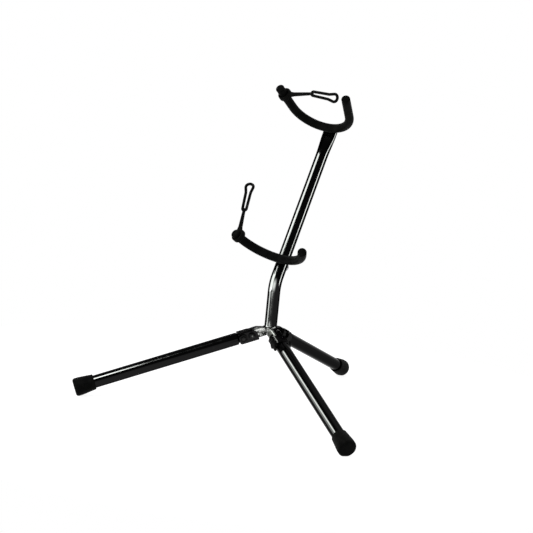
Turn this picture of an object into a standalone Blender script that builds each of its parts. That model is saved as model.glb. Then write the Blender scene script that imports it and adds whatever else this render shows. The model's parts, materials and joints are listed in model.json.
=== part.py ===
"""Folding tripod stand for a saxophone.

A bent upright stands on a pressed hub. Three tube legs hinge on the hub and fold down. Two sleeved yokes
cradle the instrument, and a rubber strap swivels on the left arm of each yoke.

Metres, +Z up. The instrument sits on the -Y side, and one leg points straight back along +Y. The origin is
on the floor, in the middle of the stand's box.
"""

import math

import bmesh
import bpy
from mathutils import Matrix, Vector

MM = 0.001

# Clearances
FIT_GAP = 0.3 * MM
HOLE_GAP = 0.25 * MM
OVERRUN = 4.0 * MM
MERGE = 0.01 * MM

# Facets
TUBE_SIDES = 24
SLEEVE_SIDES = 14
PIN_SIDES = 12
STRAP_SIDES = 10
ARC_STEP = math.radians(22.5)
BEND_STEP = math.radians(9.0)
SMOOTH_ANGLE = math.radians(35.0)
FLAT_ANGLE = math.radians(0.5)
RIM_ANGLE = math.radians(60.0)
EDGE_SEGMENTS = 2
ROUND_PROFILE = 0.5

# Legs, measured along each leg's axis from the apex where the three axes meet
LEG_SLOPE = math.radians(20.1)
FRONT_SPREAD = math.radians(50.9)
LEG_REACH = 257.0 * MM
TUBE_RADIUS = 8.0 * MM
TUBE_WALL = 1.2 * MM
NECK_RADIUS = 6.2 * MM
NECK_TAPER = 1.6 * MM
PIVOT_REACH = 26.0 * MM
LEG_BOLT_BEYOND_PIVOT = 12.0 * MM

# Leg brackets, folded channels round the inner ends of the legs
BRACKET_SHEET = 1.3 * MM
BRACKET_BEFORE_PIVOT = 8.0 * MM
BRACKET_BEYOND_BOLT = 4.8 * MM
BRACKET_WEB_BEYOND_PIVOT = 3.0 * MM
BRACKET_WEB_LEAD = 0.6 * MM
BRACKET_DROP = 7.4 * MM
BRACKET_EAR_STEP = 2.5 * MM
BRACKET_EAR_ROUND = 5.5 * MM
BRACKET_CORNER_ROUND = 2.5 * MM
SHEET_BEND_RADIUS = 2.2 * MM

# Hub
HUB_SHEET = 1.5 * MM
HUB_TOP_RISE = 1.9 * MM
HUB_SEAT_STEP = 0.5 * MM
HUB_DROP = 5.2 * MM
HUB_BOLT_RADIUS = 2.5 * MM
HUB_BOLT_FLATS = 8.0 * MM
HUB_BOLT_HEAD = 3.5 * MM
HUB_WASHER_RADIUS = 4.6 * MM
HUB_WASHER_THICKNESS = 1.0 * MM
PLUG_LENGTH = 20.0 * MM

# Rivets, bolts and nuts of the legs
RIVET_RADIUS = 2.5 * MM
RIVET_HEAD_RADIUS = 4.6 * MM
RIVET_HEAD_HEIGHT = 2.2 * MM
LEG_BOLT_RADIUS = 3.0 * MM
LEG_BOLT_FLATS = 10.0 * MM
LEG_BOLT_HEAD = 4.0 * MM
LEG_NUT_HEIGHT = 3.8 * MM
BOLT_END_SHOW = 1.0 * MM

# Foot caps
CAP_LENGTH = 26.0 * MM
CAP_MOUTH_RADIUS = 9.7 * MM
CAP_END_RADIUS = 11.4 * MM
CAP_END_ROUND = 3.2 * MM
CAP_FLOOR = 4.5 * MM
CAP_MOUTH_CHAMFER = 0.8 * MM
CAP_FLARE_LENGTH = 18.0 * MM
FOOT_FLAT_DEPTH = 0.9 * MM

# Upright: heights from the apex, runs along the leaning part from the corner of its bend
UPRIGHT_BEND_HEIGHT = 58.0 * MM
UPRIGHT_LEAN = math.radians(32.5)
UPRIGHT_BEND_RADIUS = 38.0 * MM
UPPER_RUN = 224.9 * MM
LOWER_RUN = 28.9 * MM
FLAT_HALF_WIDTH = 9.7 * MM
FLAT_HALF_THICKNESS = 4.2 * MM
FLAT_BELOW_STUD = 5.0 * MM
FLAT_ABOVE_STUD = 5.6 * MM
FLAT_TRANSITION = 34.0 * MM
FLAT_STEPS = 6
FLAT_CORNER_ROUND = 4.0 * MM

# Yokes
ROD_RADIUS = 3.5 * MM
SLEEVE_RADIUS = 5.7 * MM
STUD_RADIUS = 2.5 * MM
STUD_END_SHOW = 1.5 * MM
YOKE_NUT_FLATS = 8.0 * MM
YOKE_NUT_HEIGHT = 4.0 * MM
YOKE_WASHER_RADIUS = 5.5 * MM
YOKE_WASHER_THICKNESS = 1.0 * MM
TIP_DOME = 3.0 * MM
TIP_ROUND = 2.0 * MM
TIP_SPIGOT = 6.0 * MM
UPPER_BEND_RADIUS = 41.4 * MM
UPPER_SWEEP = math.radians(80.5)
UPPER_ARM = 40.6 * MM
UPPER_TILT = math.radians(37.2)
UPPER_TURN = math.radians(2.7)
LOWER_BEND_RADIUS = 48.7 * MM
LOWER_SWEEP = math.radians(68.9)
LOWER_ARM = 11.6 * MM
LOWER_TILT = math.radians(33.8)
LOWER_TURN = math.radians(6.0)

# Straps: lift turns the strap round the arm from lying across the yoke, droop bends its eye from the stem
STRAP_RING_RADIUS = 8.8 * MM
STRAP_RING_OFFSET = 1.2 * MM
STRAP_RING_WIDTH = 7.0 * MM
STRAP_RING_ROUND = 1.2 * MM
STRAP_END_ROOM = 5.2 * MM
STRAP_STEM_ROOT = 3.4 * MM
STRAP_STEM_NECK = 2.7 * MM
STRAP_NECK_LENGTH = 6.0 * MM
STRAP_WIRE = 1.9 * MM
STRAP_EYE_LENGTH = 41.5 * MM
STRAP_EYE_ROUND = 4.9 * MM
STRAP_EYE_WAIST = 3.1 * MM
STRAP_EYE_NECK = 9.0 * MM
STRAP_FORK_ROUND = 2.5 * MM
STRAP_EYE_TWIST = math.radians(30.0)
UPPER_STRAP_FROM_TIP = 14.6 * MM
UPPER_STRAP_LIFT = math.radians(5.3)
UPPER_STRAP_DROOP = math.radians(13.5)
LOWER_STRAP_FROM_TIP = 8.2 * MM
LOWER_STRAP_LIFT = math.radians(110.0)
LOWER_STRAP_DROOP = math.radians(1.0)

# Sizes that follow from those above
TUBE_BORE = TUBE_RADIUS - TUBE_WALL
LEG_BOLT_REACH = PIVOT_REACH + LEG_BOLT_BEYOND_PIVOT
BRACKET_INNER_END = PIVOT_REACH - BRACKET_BEFORE_PIVOT
BRACKET_OUTER_END = LEG_BOLT_REACH + BRACKET_BEYOND_BOLT
BRACKET_WEB_START = PIVOT_REACH + BRACKET_WEB_BEYOND_PIVOT
BRACKET_INSIDE = NECK_RADIUS + FIT_GAP
BRACKET_OUTSIDE = BRACKET_INSIDE + BRACKET_SHEET
BRACKET_EAR_TOP = BRACKET_OUTSIDE - BRACKET_EAR_STEP
BRACKET_BEND_RADIUS = min(SHEET_BEND_RADIUS, BRACKET_EAR_STEP - FIT_GAP)
HUB_OUTSIDE = BRACKET_INSIDE - FIT_GAP
HUB_INSIDE = HUB_OUTSIDE - HUB_SHEET
HUB_WEB_END = BRACKET_WEB_START - FIT_GAP
HUB_UNDERSIDE = HUB_TOP_RISE - HUB_SHEET
HUB_ARM_TOP = HUB_TOP_RISE - HUB_SEAT_STEP
HUB_HALF_ANGLE = min(FRONT_SPREAD, (math.pi - FRONT_SPREAD) / 2)
HUB_ARM_START = HUB_OUTSIDE / math.tan(HUB_HALF_ANGLE) + FIT_GAP
HUB_SEAT_RADIUS = math.hypot(HUB_ARM_START, HUB_OUTSIDE) + FIT_GAP
HUB_SEAT_INSIDE = HUB_SEAT_RADIUS - HUB_SHEET
LEG_TUBE_START = PIVOT_REACH + HUB_DROP + 2 * FIT_GAP
LEG_TUBE_END = LEG_REACH - CAP_FLOOR - FIT_GAP
NECK_BORE = NECK_RADIUS - TUBE_WALL
NECK_END = BRACKET_OUTER_END + FIT_GAP
SLEEVE_BORE = ROD_RADIUS + FIT_GAP
STRAP_BORE = SLEEVE_RADIUS + FIT_GAP
UPPER_ARM_TO_STRAP = UPPER_ARM - UPPER_STRAP_FROM_TIP
UPPER_HALF_SPAN = UPPER_BEND_RADIUS * math.sin(UPPER_SWEEP) + UPPER_ARM_TO_STRAP * math.cos(UPPER_SWEEP)
STRAP_STEM = 2 * UPPER_HALF_SPAN - STRAP_EYE_LENGTH - STRAP_END_ROOM


def make_material(name, colour, roughness, metallic):
    material = bpy.data.materials.new(name)
    material.use_nodes = True
    shader = material.node_tree.nodes["Principled BSDF"]
    shader.inputs["Base Color"].default_value = (*colour, 1.0)
    shader.inputs["Roughness"].default_value = roughness
    shader.inputs["Metallic"].default_value = metallic
    material.diffuse_color = (*colour, 1.0)
    return material


class Stand:
    """The collections and materials that the pieces share."""

    def __init__(self):
        for obj in list(bpy.data.objects):
            bpy.data.objects.remove(obj, do_unlink=True)
        self.parts = self.collection("saxophone_stand")
        self.cutters = self.collection("saxophone_stand_cutters")
        self.cutters.hide_render = True
        self.gloss_black = make_material("gloss_black_tube", (0.012, 0.012, 0.014), 0.12, 0.6)
        self.black_sheet = make_material("black_pressed_steel", (0.015, 0.015, 0.016), 0.25, 0.5)
        self.bright_sheet = make_material("bright_pressed_steel", (0.55, 0.56, 0.56), 0.25, 1.0)
        self.zinc = make_material("zinc_fastener", (0.45, 0.45, 0.46), 0.35, 1.0)
        self.black_steel = make_material("blackened_fastener", (0.035, 0.035, 0.036), 0.4, 1.0)
        self.rubber = make_material("black_rubber", (0.010, 0.010, 0.010), 0.75, 0.0)
        self.sleeve = make_material("black_soft_sleeve", (0.008, 0.008, 0.008), 0.6, 0.0)

    def collection(self, name):
        made = bpy.data.collections.new(name)
        bpy.context.scene.collection.children.link(made)
        return made

    def piece(self, obj, material, matrix, parent=None):
        """A piece of the stand: its material, its place under its parent and its smooth shading."""
        self.parts.objects.link(obj)
        bpy.context.scene.collection.objects.unlink(obj)
        obj.data.materials.append(material)
        obj.parent = parent
        obj.matrix_local = matrix
        obj.data.shade_smooth()
        obj.data.set_sharp_from_angle(angle=SMOOTH_ANGLE)
        return obj

    def helper(self, obj, matrix):
        """A shape that only cuts or joins a piece."""
        self.cutters.objects.link(obj)
        bpy.context.scene.collection.objects.unlink(obj)
        obj.matrix_world = matrix
        obj.hide_render = True
        obj.display_type = "WIRE"
        return obj

    def pivot(self, name, matrix):
        """An empty on a joint's axis, which carries what turns about it."""
        empty = bpy.data.objects.new(name, None)
        self.parts.objects.link(empty)
        empty.matrix_world = matrix
        return empty


def boolean(target, other, operation="DIFFERENCE"):
    modifier = target.modifiers.new(other.name, "BOOLEAN")
    modifier.operation = operation
    modifier.object = other
    modifier.solver = "EXACT"


def scene_object(name, data):
    obj = bpy.data.objects.new(name, data)
    bpy.context.scene.collection.objects.link(obj)
    return obj


def shape_object(name, shape):
    bmesh.ops.recalc_face_normals(shape, faces=shape.faces)
    mesh = bpy.data.meshes.new(name)
    shape.to_mesh(mesh)
    shape.free()
    return scene_object(name, mesh)


def frozen(obj):
    """Swaps a curve or a modified object for its plain welded mesh."""
    name = obj.name
    graph = bpy.context.evaluated_depsgraph_get()
    mesh = bpy.data.meshes.new_from_object(obj.evaluated_get(graph))
    bpy.data.objects.remove(obj, do_unlink=True)
    shape = bmesh.new()
    shape.from_mesh(mesh)
    bpy.data.meshes.remove(mesh)
    bmesh.ops.remove_doubles(shape, verts=shape.verts, dist=MERGE)
    return shape_object(name, shape)


def turned(name, profile, steps=TUBE_SIDES):
    """A solid turned round local X. The profile's (along, radius) points form a ring, or end on the axis."""
    mesh = bpy.data.meshes.new(name)
    edges = [(i, i + 1) for i in range(len(profile) - 1)]
    if profile[0][1] > 0.0:
        edges.append((len(profile) - 1, 0))
    mesh.from_pydata([(along, 0.0, radius) for along, radius in profile], edges, [])
    obj = scene_object(name, mesh)
    screw = obj.modifiers.new("turn", "SCREW")
    screw.axis = "X"
    screw.steps = steps
    screw.render_steps = steps
    screw.use_merge_vertices = True
    screw.merge_threshold = MERGE
    return frozen(obj)


def arc(centre, radius, start, end, step=ARC_STEP):
    """Points on an arc in a plane, both ends included."""
    count = max(2, math.ceil(abs(end - start) / step))
    angles = [start + (end - start) * i / count for i in range(count + 1)]
    return [(centre[0] + radius * math.cos(a), centre[1] + radius * math.sin(a)) for a in angles]


def plate(name, outline, half_width):
    """A flat outline in local XZ, extruded evenly to both sides along Y."""
    curve = bpy.data.curves.new(name, "CURVE")
    curve.dimensions = "2D"
    curve.fill_mode = "BOTH"
    curve.extrude = half_width
    spline = curve.splines.new("POLY")
    spline.points.add(len(outline) - 1)
    for point, (along, up) in zip(spline.points, outline):
        point.co = (along, up, 0.0, 1.0)
    spline.use_cyclic_u = True
    obj = frozen(scene_object(name, curve))
    obj.data.transform(Matrix.Rotation(math.pi / 2, 4, "X"))
    return obj


def round_top(obj, line, radius):
    """Rounds the two long edges of a plate that follow a line of (along, up) points."""
    shape = bmesh.new()
    shape.from_mesh(obj.data)
    bmesh.ops.dissolve_limit(
        shape,
        angle_limit=FLAT_ANGLE,
        verts=shape.verts,
        edges=shape.edges,
    )

    def on_line(vert):
        return any(math.dist((vert.co.x, vert.co.z), point) < MERGE for point in line)

    edges = [
        edge
        for edge in shape.edges
        if all(map(on_line, edge.verts)) and edge.verts[0].co.y * edge.verts[1].co.y > 0.0
    ]
    bmesh.ops.bevel(
        shape,
        geom=edges,
        offset=radius,
        segments=EDGE_SEGMENTS,
        profile=ROUND_PROFILE,
        affect="EDGES",
    )
    shape.to_mesh(obj.data)
    shape.free()
    return obj


def bar(name, radius, length, sides=PIN_SIDES):
    """A bar along local Y, centred on the origin."""
    shape = bmesh.new()
    bmesh.ops.create_cone(
        shape,
        cap_ends=True,
        segments=sides,
        radius1=radius,
        radius2=radius,
        depth=length,
        matrix=Matrix.Rotation(math.pi / 2, 4, "X"),
    )
    return shape_object(name, shape)


def hexagon(name, flats, height):
    return bar(name, flats / 2 / math.cos(math.pi / 6), height, sides=6)


def wire(name, points, radius, sides, scales=None, cyclic=False):
    """A round wire through points, with filled ends. Scales change its radius from point to point."""
    curve = bpy.data.curves.new(name, "CURVE")
    curve.dimensions = "3D"
    curve.bevel_depth = radius
    curve.bevel_resolution = (sides - 4) // 2
    curve.use_fill_caps = not cyclic
    spline = curve.splines.new("POLY")
    spline.points.add(len(points) - 1)
    for i, place in enumerate(points):
        spline.points[i].co = (*place, 1.0)
        spline.points[i].radius = scales[i] if scales else 1.0
    spline.use_cyclic_u = cyclic
    return frozen(scene_object(name, curve))


def leg_frame(azimuth):
    """Local X runs out along the leg's axis, Y to its left and Z up, square to the leg."""
    flat = Vector((math.cos(azimuth), math.sin(azimuth), 0.0))
    up = Vector((0.0, 0.0, 1.0))
    out = flat * math.cos(LEG_SLOPE) - up * math.sin(LEG_SLOPE)
    top = flat * math.sin(LEG_SLOPE) + up * math.cos(LEG_SLOPE)
    return Matrix((out, top.cross(out), top)).transposed().to_4x4()


def cap_outside():
    """The outside of a foot cap from mouth to end, as (along the leg from the apex, radius)."""
    mouth = LEG_REACH - CAP_LENGTH
    corner = (LEG_REACH - CAP_END_ROUND, CAP_END_RADIUS - CAP_END_ROUND)
    return [
        (mouth, CAP_MOUTH_RADIUS - CAP_MOUTH_CHAMFER),
        (mouth + CAP_MOUTH_CHAMFER, CAP_MOUTH_RADIUS),
        (mouth + CAP_FLARE_LENGTH, CAP_END_RADIUS),
        *arc(corner, CAP_END_ROUND, math.pi / 2, 0.0),
    ]


def cap_reach(direction, frame):
    """How far a foot cap reaches in a direction, from the apex."""
    along_share = frame.to_3x3().col[0].dot(direction)
    across_share = math.sqrt(1.0 - along_share**2)
    return max(along * along_share + radius * across_share for along, radius in cap_outside())


LEG_FRAMES = {
    "front_left": leg_frame(-math.pi / 2 - FRONT_SPREAD),
    "front_right": leg_frame(-math.pi / 2 + FRONT_SPREAD),
    "back": leg_frame(math.pi / 2),
}
FRONT_REACH = cap_reach(Vector((0.0, -1.0, 0.0)), LEG_FRAMES["front_left"])
BACK_REACH = cap_reach(Vector((0.0, 1.0, 0.0)), LEG_FRAMES["back"])
FOOT_DEPTH = cap_reach(Vector((0.0, 0.0, -1.0)), LEG_FRAMES["back"]) - FOOT_FLAT_DEPTH
APEX = Matrix.Translation((0.0, (FRONT_REACH - BACK_REACH) / 2, FOOT_DEPTH))

# The leaning part of the upright: Z runs up the tube from the corner of its bend, -Y looks to the instrument
LEAN = APEX @ Matrix.Translation((0.0, 0.0, UPRIGHT_BEND_HEIGHT)) @ Matrix.Rotation(-UPRIGHT_LEAN, 4, "X")


def at_reach(reach, up):
    """A point level with the apex's reach out to a leg, as (along, up) in the leg's frame."""
    return ((reach - up * math.sin(LEG_SLOPE)) / math.cos(LEG_SLOPE), up)


def cut_level(obj, frame, height):
    """Cuts a plate in a leg's frame level, at a height above the apex."""
    to_leg = frame.inverted()
    shape = bmesh.new()
    shape.from_mesh(obj.data)
    cut = bmesh.ops.bisect_plane(
        shape,
        geom=[*shape.verts, *shape.edges, *shape.faces],
        plane_co=to_leg @ Vector((0.0, 0.0, height)),
        plane_no=to_leg.to_3x3() @ Vector((0.0, 0.0, 1.0)),
        clear_outer=True,
    )
    rim = [item for item in cut["geom_cut"] if isinstance(item, bmesh.types.BMEdge)]
    bmesh.ops.contextual_create(shape, geom=rim)
    bmesh.ops.recalc_face_normals(shape, faces=shape.faces)
    shape.to_mesh(obj.data)
    shape.free()
    return obj


def upright_bar(stand, name, radius, foot, top):
    """A helper bar round the upright's axis, between two heights above the apex."""
    middle = Matrix.Translation((0.0, 0.0, (foot + top) / 2))
    place = APEX @ middle @ Matrix.Rotation(math.pi / 2, 4, "X")
    return stand.helper(bar(name, radius, top - foot, TUBE_SIDES), place)


def build_hub(stand, pivot_holes):
    """A round seat for the upright and three sloping channel arms, all one pressing."""
    seat = bar("hub_bracket", HUB_SEAT_RADIUS, HUB_TOP_RISE + HUB_DROP, TUBE_SIDES)
    seat_middle = Matrix.Translation((0.0, 0.0, (HUB_TOP_RISE - HUB_DROP) / 2))
    hub = stand.piece(seat, stand.bright_sheet, APEX @ seat_middle @ Matrix.Rotation(math.pi / 2, 4, "X"))

    top = [at_reach(HUB_ARM_START, BRACKET_OUTSIDE), (HUB_WEB_END, BRACKET_OUTSIDE)]
    nose_start = math.acos((HUB_WEB_END - PIVOT_REACH) / HUB_DROP)
    nose = arc((PIVOT_REACH, 0.0), HUB_DROP, nose_start, -math.pi / 2)
    outline = [*top, *nose, at_reach(HUB_ARM_START, -HUB_DROP)]
    far = BRACKET_OUTER_END
    hollow_top = BRACKET_OUTSIDE - HUB_SHEET
    hollow_start = HUB_ARM_START / 2
    hollow_outline = [
        at_reach(hollow_start, hollow_top),
        (far, hollow_top),
        (far, -far),
        at_reach(hollow_start, -far),
    ]

    hollows = []
    for name, frame in LEG_FRAMES.items():
        arm = round_top(plate(f"{name}_hub_arm", outline, HUB_OUTSIDE), top, SHEET_BEND_RADIUS)
        boolean(hub, stand.helper(cut_level(arm, frame, HUB_ARM_TOP), APEX @ frame), "UNION")
        hollow = plate(f"{name}_hub_hollow", hollow_outline, HUB_INSIDE)
        cut_level(hollow, frame, HUB_ARM_TOP - HUB_SHEET)
        hollows.append(stand.helper(hollow, APEX @ frame))
    foot = -HUB_DROP - OVERRUN
    seat_hollow = upright_bar(stand, "hub_seat_hollow", HUB_SEAT_INSIDE, foot, HUB_UNDERSIDE)
    bolt_hole = upright_bar(stand, "hub_bolt_hole", HUB_BOLT_RADIUS + HOLE_GAP, foot, HUB_TOP_RISE + OVERRUN)
    for cutter in [*hollows, seat_hollow, bolt_hole, *pivot_holes]:
        boolean(hub, cutter)


def collar(stand, name, blank, hole_radius, height, material, place):
    """A nut or washer along local Y: a blank with a round hole."""
    piece = stand.piece(blank, material, place)
    hole = bar(f"{name}_hole", hole_radius, height + 2 * OVERRUN)
    boolean(piece, stand.helper(hole, place))
    return piece


def build_hub_fasteners(stand):
    upward = APEX @ Matrix.Rotation(math.pi / 2, 4, "X")
    washer_top = HUB_UNDERSIDE - FIT_GAP
    washer_middle = washer_top - HUB_WASHER_THICKNESS / 2
    hole_radius = HUB_BOLT_RADIUS + HOLE_GAP
    washer = bar("hub_washer", HUB_WASHER_RADIUS, HUB_WASHER_THICKNESS)
    washer_place = upward @ Matrix.Translation((0.0, washer_middle, 0.0))
    collar(stand, "hub_washer", washer, hole_radius, HUB_WASHER_THICKNESS, stand.zinc, washer_place)

    plug_foot = HUB_TOP_RISE + FIT_GAP
    plug_profile = [
        (plug_foot, hole_radius),
        (plug_foot, TUBE_BORE - FIT_GAP),
        (plug_foot + PLUG_LENGTH, TUBE_BORE - FIT_GAP),
        (plug_foot + PLUG_LENGTH, hole_radius),
    ]
    plug = turned("upright_plug", plug_profile)
    stand.piece(plug, stand.zinc, APEX @ Matrix.Rotation(-math.pi / 2, 4, "Y"))

    head_top = washer_top - HUB_WASHER_THICKNESS - FIT_GAP
    bolt_top = plug_foot + PLUG_LENGTH
    head = hexagon("hub_bolt", HUB_BOLT_FLATS, HUB_BOLT_HEAD)
    stand.piece(head, stand.zinc, upward @ Matrix.Translation((0.0, head_top - HUB_BOLT_HEAD / 2, 0.0)))
    join_shank(stand, head, HUB_BOLT_RADIUS, head_top - HUB_BOLT_HEAD / 2, bolt_top, upward)


def join_shank(stand, head, radius, start, end, axis):
    """Joins a round shank to a bolt head or rod, from start to end along the axis frame's Y."""
    shank = bar(f"{head.name}_shank", radius, end - start)
    shank = stand.helper(shank, axis @ Matrix.Translation((0.0, (start + end) / 2, 0.0)))
    boolean(head, shank, "UNION")


def bracket_outline():
    ear_corner = (BRACKET_INNER_END + BRACKET_EAR_ROUND, BRACKET_EAR_TOP - BRACKET_EAR_ROUND)
    outer_corner = (BRACKET_OUTER_END - BRACKET_CORNER_ROUND, BRACKET_CORNER_ROUND - BRACKET_DROP)
    lead = BRACKET_WEB_START - BRACKET_WEB_LEAD
    return [
        (lead, BRACKET_OUTSIDE),
        (BRACKET_OUTER_END, BRACKET_OUTSIDE),
        *arc(outer_corner, BRACKET_CORNER_ROUND, 0.0, -math.pi / 2),
        (BRACKET_INNER_END, -BRACKET_DROP),
        *arc(ear_corner, BRACKET_EAR_ROUND, math.pi, math.pi / 2),
        (lead - BRACKET_EAR_STEP, BRACKET_EAR_TOP),
    ]


def bracket_hollow_outline():
    inner = BRACKET_INNER_END - OVERRUN
    outer = BRACKET_OUTER_END + OVERRUN
    bottom = -BRACKET_DROP - OVERRUN
    top = BRACKET_OUTSIDE + OVERRUN
    return [
        (inner, bottom),
        (outer, bottom),
        (outer, BRACKET_INSIDE),
        (BRACKET_WEB_START, BRACKET_INSIDE),
        (BRACKET_WEB_START, top),
        (inner, top),
    ]


def dome(base, height, radius):
    """A rivet head's outside from its rim to its crown, as (along, radius)."""
    quarter = arc((0.0, 0.0), 1.0, 0.0, math.pi / 2)
    side = [(base + height * rise, radius * spread) for spread, rise in quarter[:-1]]
    return [*side, (base + height, 0.0)]


def rivet_profile():
    seat = BRACKET_OUTSIDE + FIT_GAP
    half = [(seat, RIVET_RADIUS), *dome(seat, RIVET_HEAD_HEIGHT, RIVET_HEAD_RADIUS)]
    return [(-along, radius) for along, radius in reversed(half)] + half


def build_leg(stand, name, frame):
    """One leg with its bracket, foot and fasteners, on an empty at its pivot. Gives its pivot hole."""
    place = APEX @ frame
    pivot = stand.pivot(f"{name}_leg_pivot", place @ Matrix.Translation((PIVOT_REACH, 0.0, 0.0)))
    from_pivot = Matrix.Translation((-PIVOT_REACH, 0.0, 0.0))
    hole_length = 2 * (BRACKET_OUTSIDE + OVERRUN)

    def hole(label, radius, reach):
        cutter = bar(f"{name}_{label}", radius + HOLE_GAP, hole_length)
        return stand.helper(cutter, place @ Matrix.Translation((reach, 0.0, 0.0)))

    pivot_hole = hole("pivot_hole", RIVET_RADIUS, PIVOT_REACH)
    bolt_hole = hole("leg_bolt_hole", LEG_BOLT_RADIUS, LEG_BOLT_REACH)

    outline = bracket_outline()
    bracket = plate(f"{name}_leg_bracket", outline, BRACKET_OUTSIDE)
    round_top(bracket, outline[:2], BRACKET_BEND_RADIUS)
    stand.piece(bracket, stand.black_sheet, from_pivot, pivot)
    hollow = plate(f"{name}_bracket_hollow", bracket_hollow_outline(), BRACKET_INSIDE)
    for cutter in (stand.helper(hollow, place), pivot_hole, bolt_hole):
        boolean(bracket, cutter)

    tube_profile = [
        (LEG_TUBE_START, NECK_BORE),
        (LEG_TUBE_START, NECK_RADIUS),
        (NECK_END, NECK_RADIUS),
        (NECK_END + NECK_TAPER, TUBE_RADIUS),
        (LEG_TUBE_END, TUBE_RADIUS),
        (LEG_TUBE_END, TUBE_BORE),
        (NECK_END + NECK_TAPER, TUBE_BORE),
        (NECK_END, NECK_BORE),
    ]
    tube = stand.piece(turned(f"{name}_leg_tube", tube_profile), stand.gloss_black, from_pivot, pivot)
    boolean(tube, bolt_hole)

    cap_bore = TUBE_RADIUS + FIT_GAP
    cap_bottom = LEG_REACH - CAP_FLOOR
    mouth = LEG_REACH - CAP_LENGTH
    cap_inside = [(cap_bottom, 0.0), (cap_bottom, cap_bore), (mouth, cap_bore)]
    cap_profile = [*cap_inside, *cap_outside(), (LEG_REACH, 0.0)]
    cap = stand.piece(turned(f"{name}_foot_cap", cap_profile), stand.rubber, from_pivot, pivot)
    boolean(cap, below_floor(stand, name, place))

    rivet = turned(f"{name}_pivot_rivet", rivet_profile(), PIN_SIDES)
    stand.piece(rivet, stand.black_steel, pivot.matrix_world @ Matrix.Rotation(math.pi / 2, 4, "Z"))
    build_leg_bolt(stand, name, place, from_pivot, pivot)
    return pivot_hole


def below_floor(stand, name, place):
    """A block below the floor, under one foot."""
    foot = place @ Vector((LEG_REACH, 0.0, 0.0))
    shape = bmesh.new()
    bmesh.ops.create_cube(shape, size=2 * CAP_LENGTH)
    block = shape_object(f"{name}_floor_block", shape)
    return stand.helper(block, Matrix.Translation((foot.x, foot.y, -CAP_LENGTH)))


def build_leg_bolt(stand, name, place, from_pivot, pivot):
    seat = BRACKET_OUTSIDE + FIT_GAP
    at_bolt = Matrix.Translation((LEG_BOLT_REACH, 0.0, 0.0))
    head_middle = -seat - LEG_BOLT_HEAD / 2
    nut_middle = seat + LEG_NUT_HEIGHT / 2
    head = hexagon(f"{name}_leg_bolt", LEG_BOLT_FLATS, LEG_BOLT_HEAD)
    to_head = at_bolt @ Matrix.Translation((0.0, head_middle, 0.0))
    stand.piece(head, stand.black_steel, from_pivot @ to_head, pivot)
    shank_end = seat + LEG_NUT_HEIGHT + BOLT_END_SHOW
    join_shank(stand, head, LEG_BOLT_RADIUS, head_middle, shank_end, place @ at_bolt)

    to_nut = at_bolt @ Matrix.Translation((0.0, nut_middle, 0.0))
    nut = hexagon(f"{name}_leg_nut", LEG_BOLT_FLATS, LEG_NUT_HEIGHT)
    stand.piece(nut, stand.black_steel, from_pivot @ to_nut, pivot)
    nut_hole = bar(f"{name}_leg_nut_hole", LEG_BOLT_RADIUS + HOLE_GAP, LEG_NUT_HEIGHT + 2 * OVERRUN)
    boolean(nut, stand.helper(nut_hole, place @ to_nut))


def tube_ring(place, half_width, half_thickness):
    """A ring of points in a frame's XY: a circle, or a flattened oval with straight sides."""
    ring = []
    for i in range(TUBE_SIDES):
        turn = math.tau * i / TUBE_SIDES
        spread = max(-1.0, min(1.0, 2.0 * math.cos(turn)))
        across = (half_width - half_thickness) * spread + half_thickness * math.cos(turn)
        ring.append(place @ Vector((across, half_thickness * math.sin(turn), 0.0)))
    return ring


def loft(name, rings):
    """A closed surface through rings of equally many points, with its first and last ring filled."""
    shape = bmesh.new()
    loops = [[shape.verts.new(point) for point in ring] for ring in rings]
    for lower, upper in zip(loops, loops[1:]):
        for i in range(len(lower)):
            shape.faces.new((lower[i - 1], lower[i], upper[i], upper[i - 1]))
    shape.faces.new(loops[0])
    shape.faces.new(loops[-1])
    return shape_object(name, shape)


def upright_bend():
    """Frames up the upright from its foot to the end of its bend."""
    tangent = UPRIGHT_BEND_RADIUS * math.tan(UPRIGHT_LEAN / 2)
    bend_start = UPRIGHT_BEND_HEIGHT - tangent
    frames = [APEX @ Matrix.Translation((0.0, 0.0, HUB_TOP_RISE + FIT_GAP))]
    count = math.ceil(UPRIGHT_LEAN / BEND_STEP)
    for i in range(count + 1):
        lean = UPRIGHT_LEAN * i / count
        back = UPRIGHT_BEND_RADIUS * (1.0 - math.cos(lean))
        up = bend_start + UPRIGHT_BEND_RADIUS * math.sin(lean)
        frames.append(APEX @ Matrix.Translation((0.0, back, up)) @ Matrix.Rotation(-lean, 4, "X"))
    return frames


def up_lean(run):
    return LEAN @ Matrix.Translation((0.0, 0.0, run))


def upright_flat_rings():
    """Rings from the round tube to its flattened, round-cornered top."""
    flat_start = UPPER_RUN - FLAT_BELOW_STUD
    top = UPPER_RUN + FLAT_ABOVE_STUD
    rings = []
    for i in range(FLAT_STEPS + 1):
        share = i / FLAT_STEPS
        ease = share * share * (3.0 - 2.0 * share)
        half_width = TUBE_RADIUS + (FLAT_HALF_WIDTH - TUBE_RADIUS) * ease
        half_thickness = TUBE_RADIUS + (FLAT_HALF_THICKNESS - TUBE_RADIUS) * ease
        run = flat_start + FLAT_TRANSITION * (share - 1.0)
        rings.append(tube_ring(up_lean(run), half_width, half_thickness))
    corner_centre = (FLAT_HALF_WIDTH - FLAT_CORNER_ROUND, top - FLAT_CORNER_ROUND)
    corner = arc(corner_centre, FLAT_CORNER_ROUND, 0.0, math.pi / 2)
    rings += [tube_ring(up_lean(run), half_width, FLAT_HALF_THICKNESS) for half_width, run in corner]
    return rings


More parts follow.
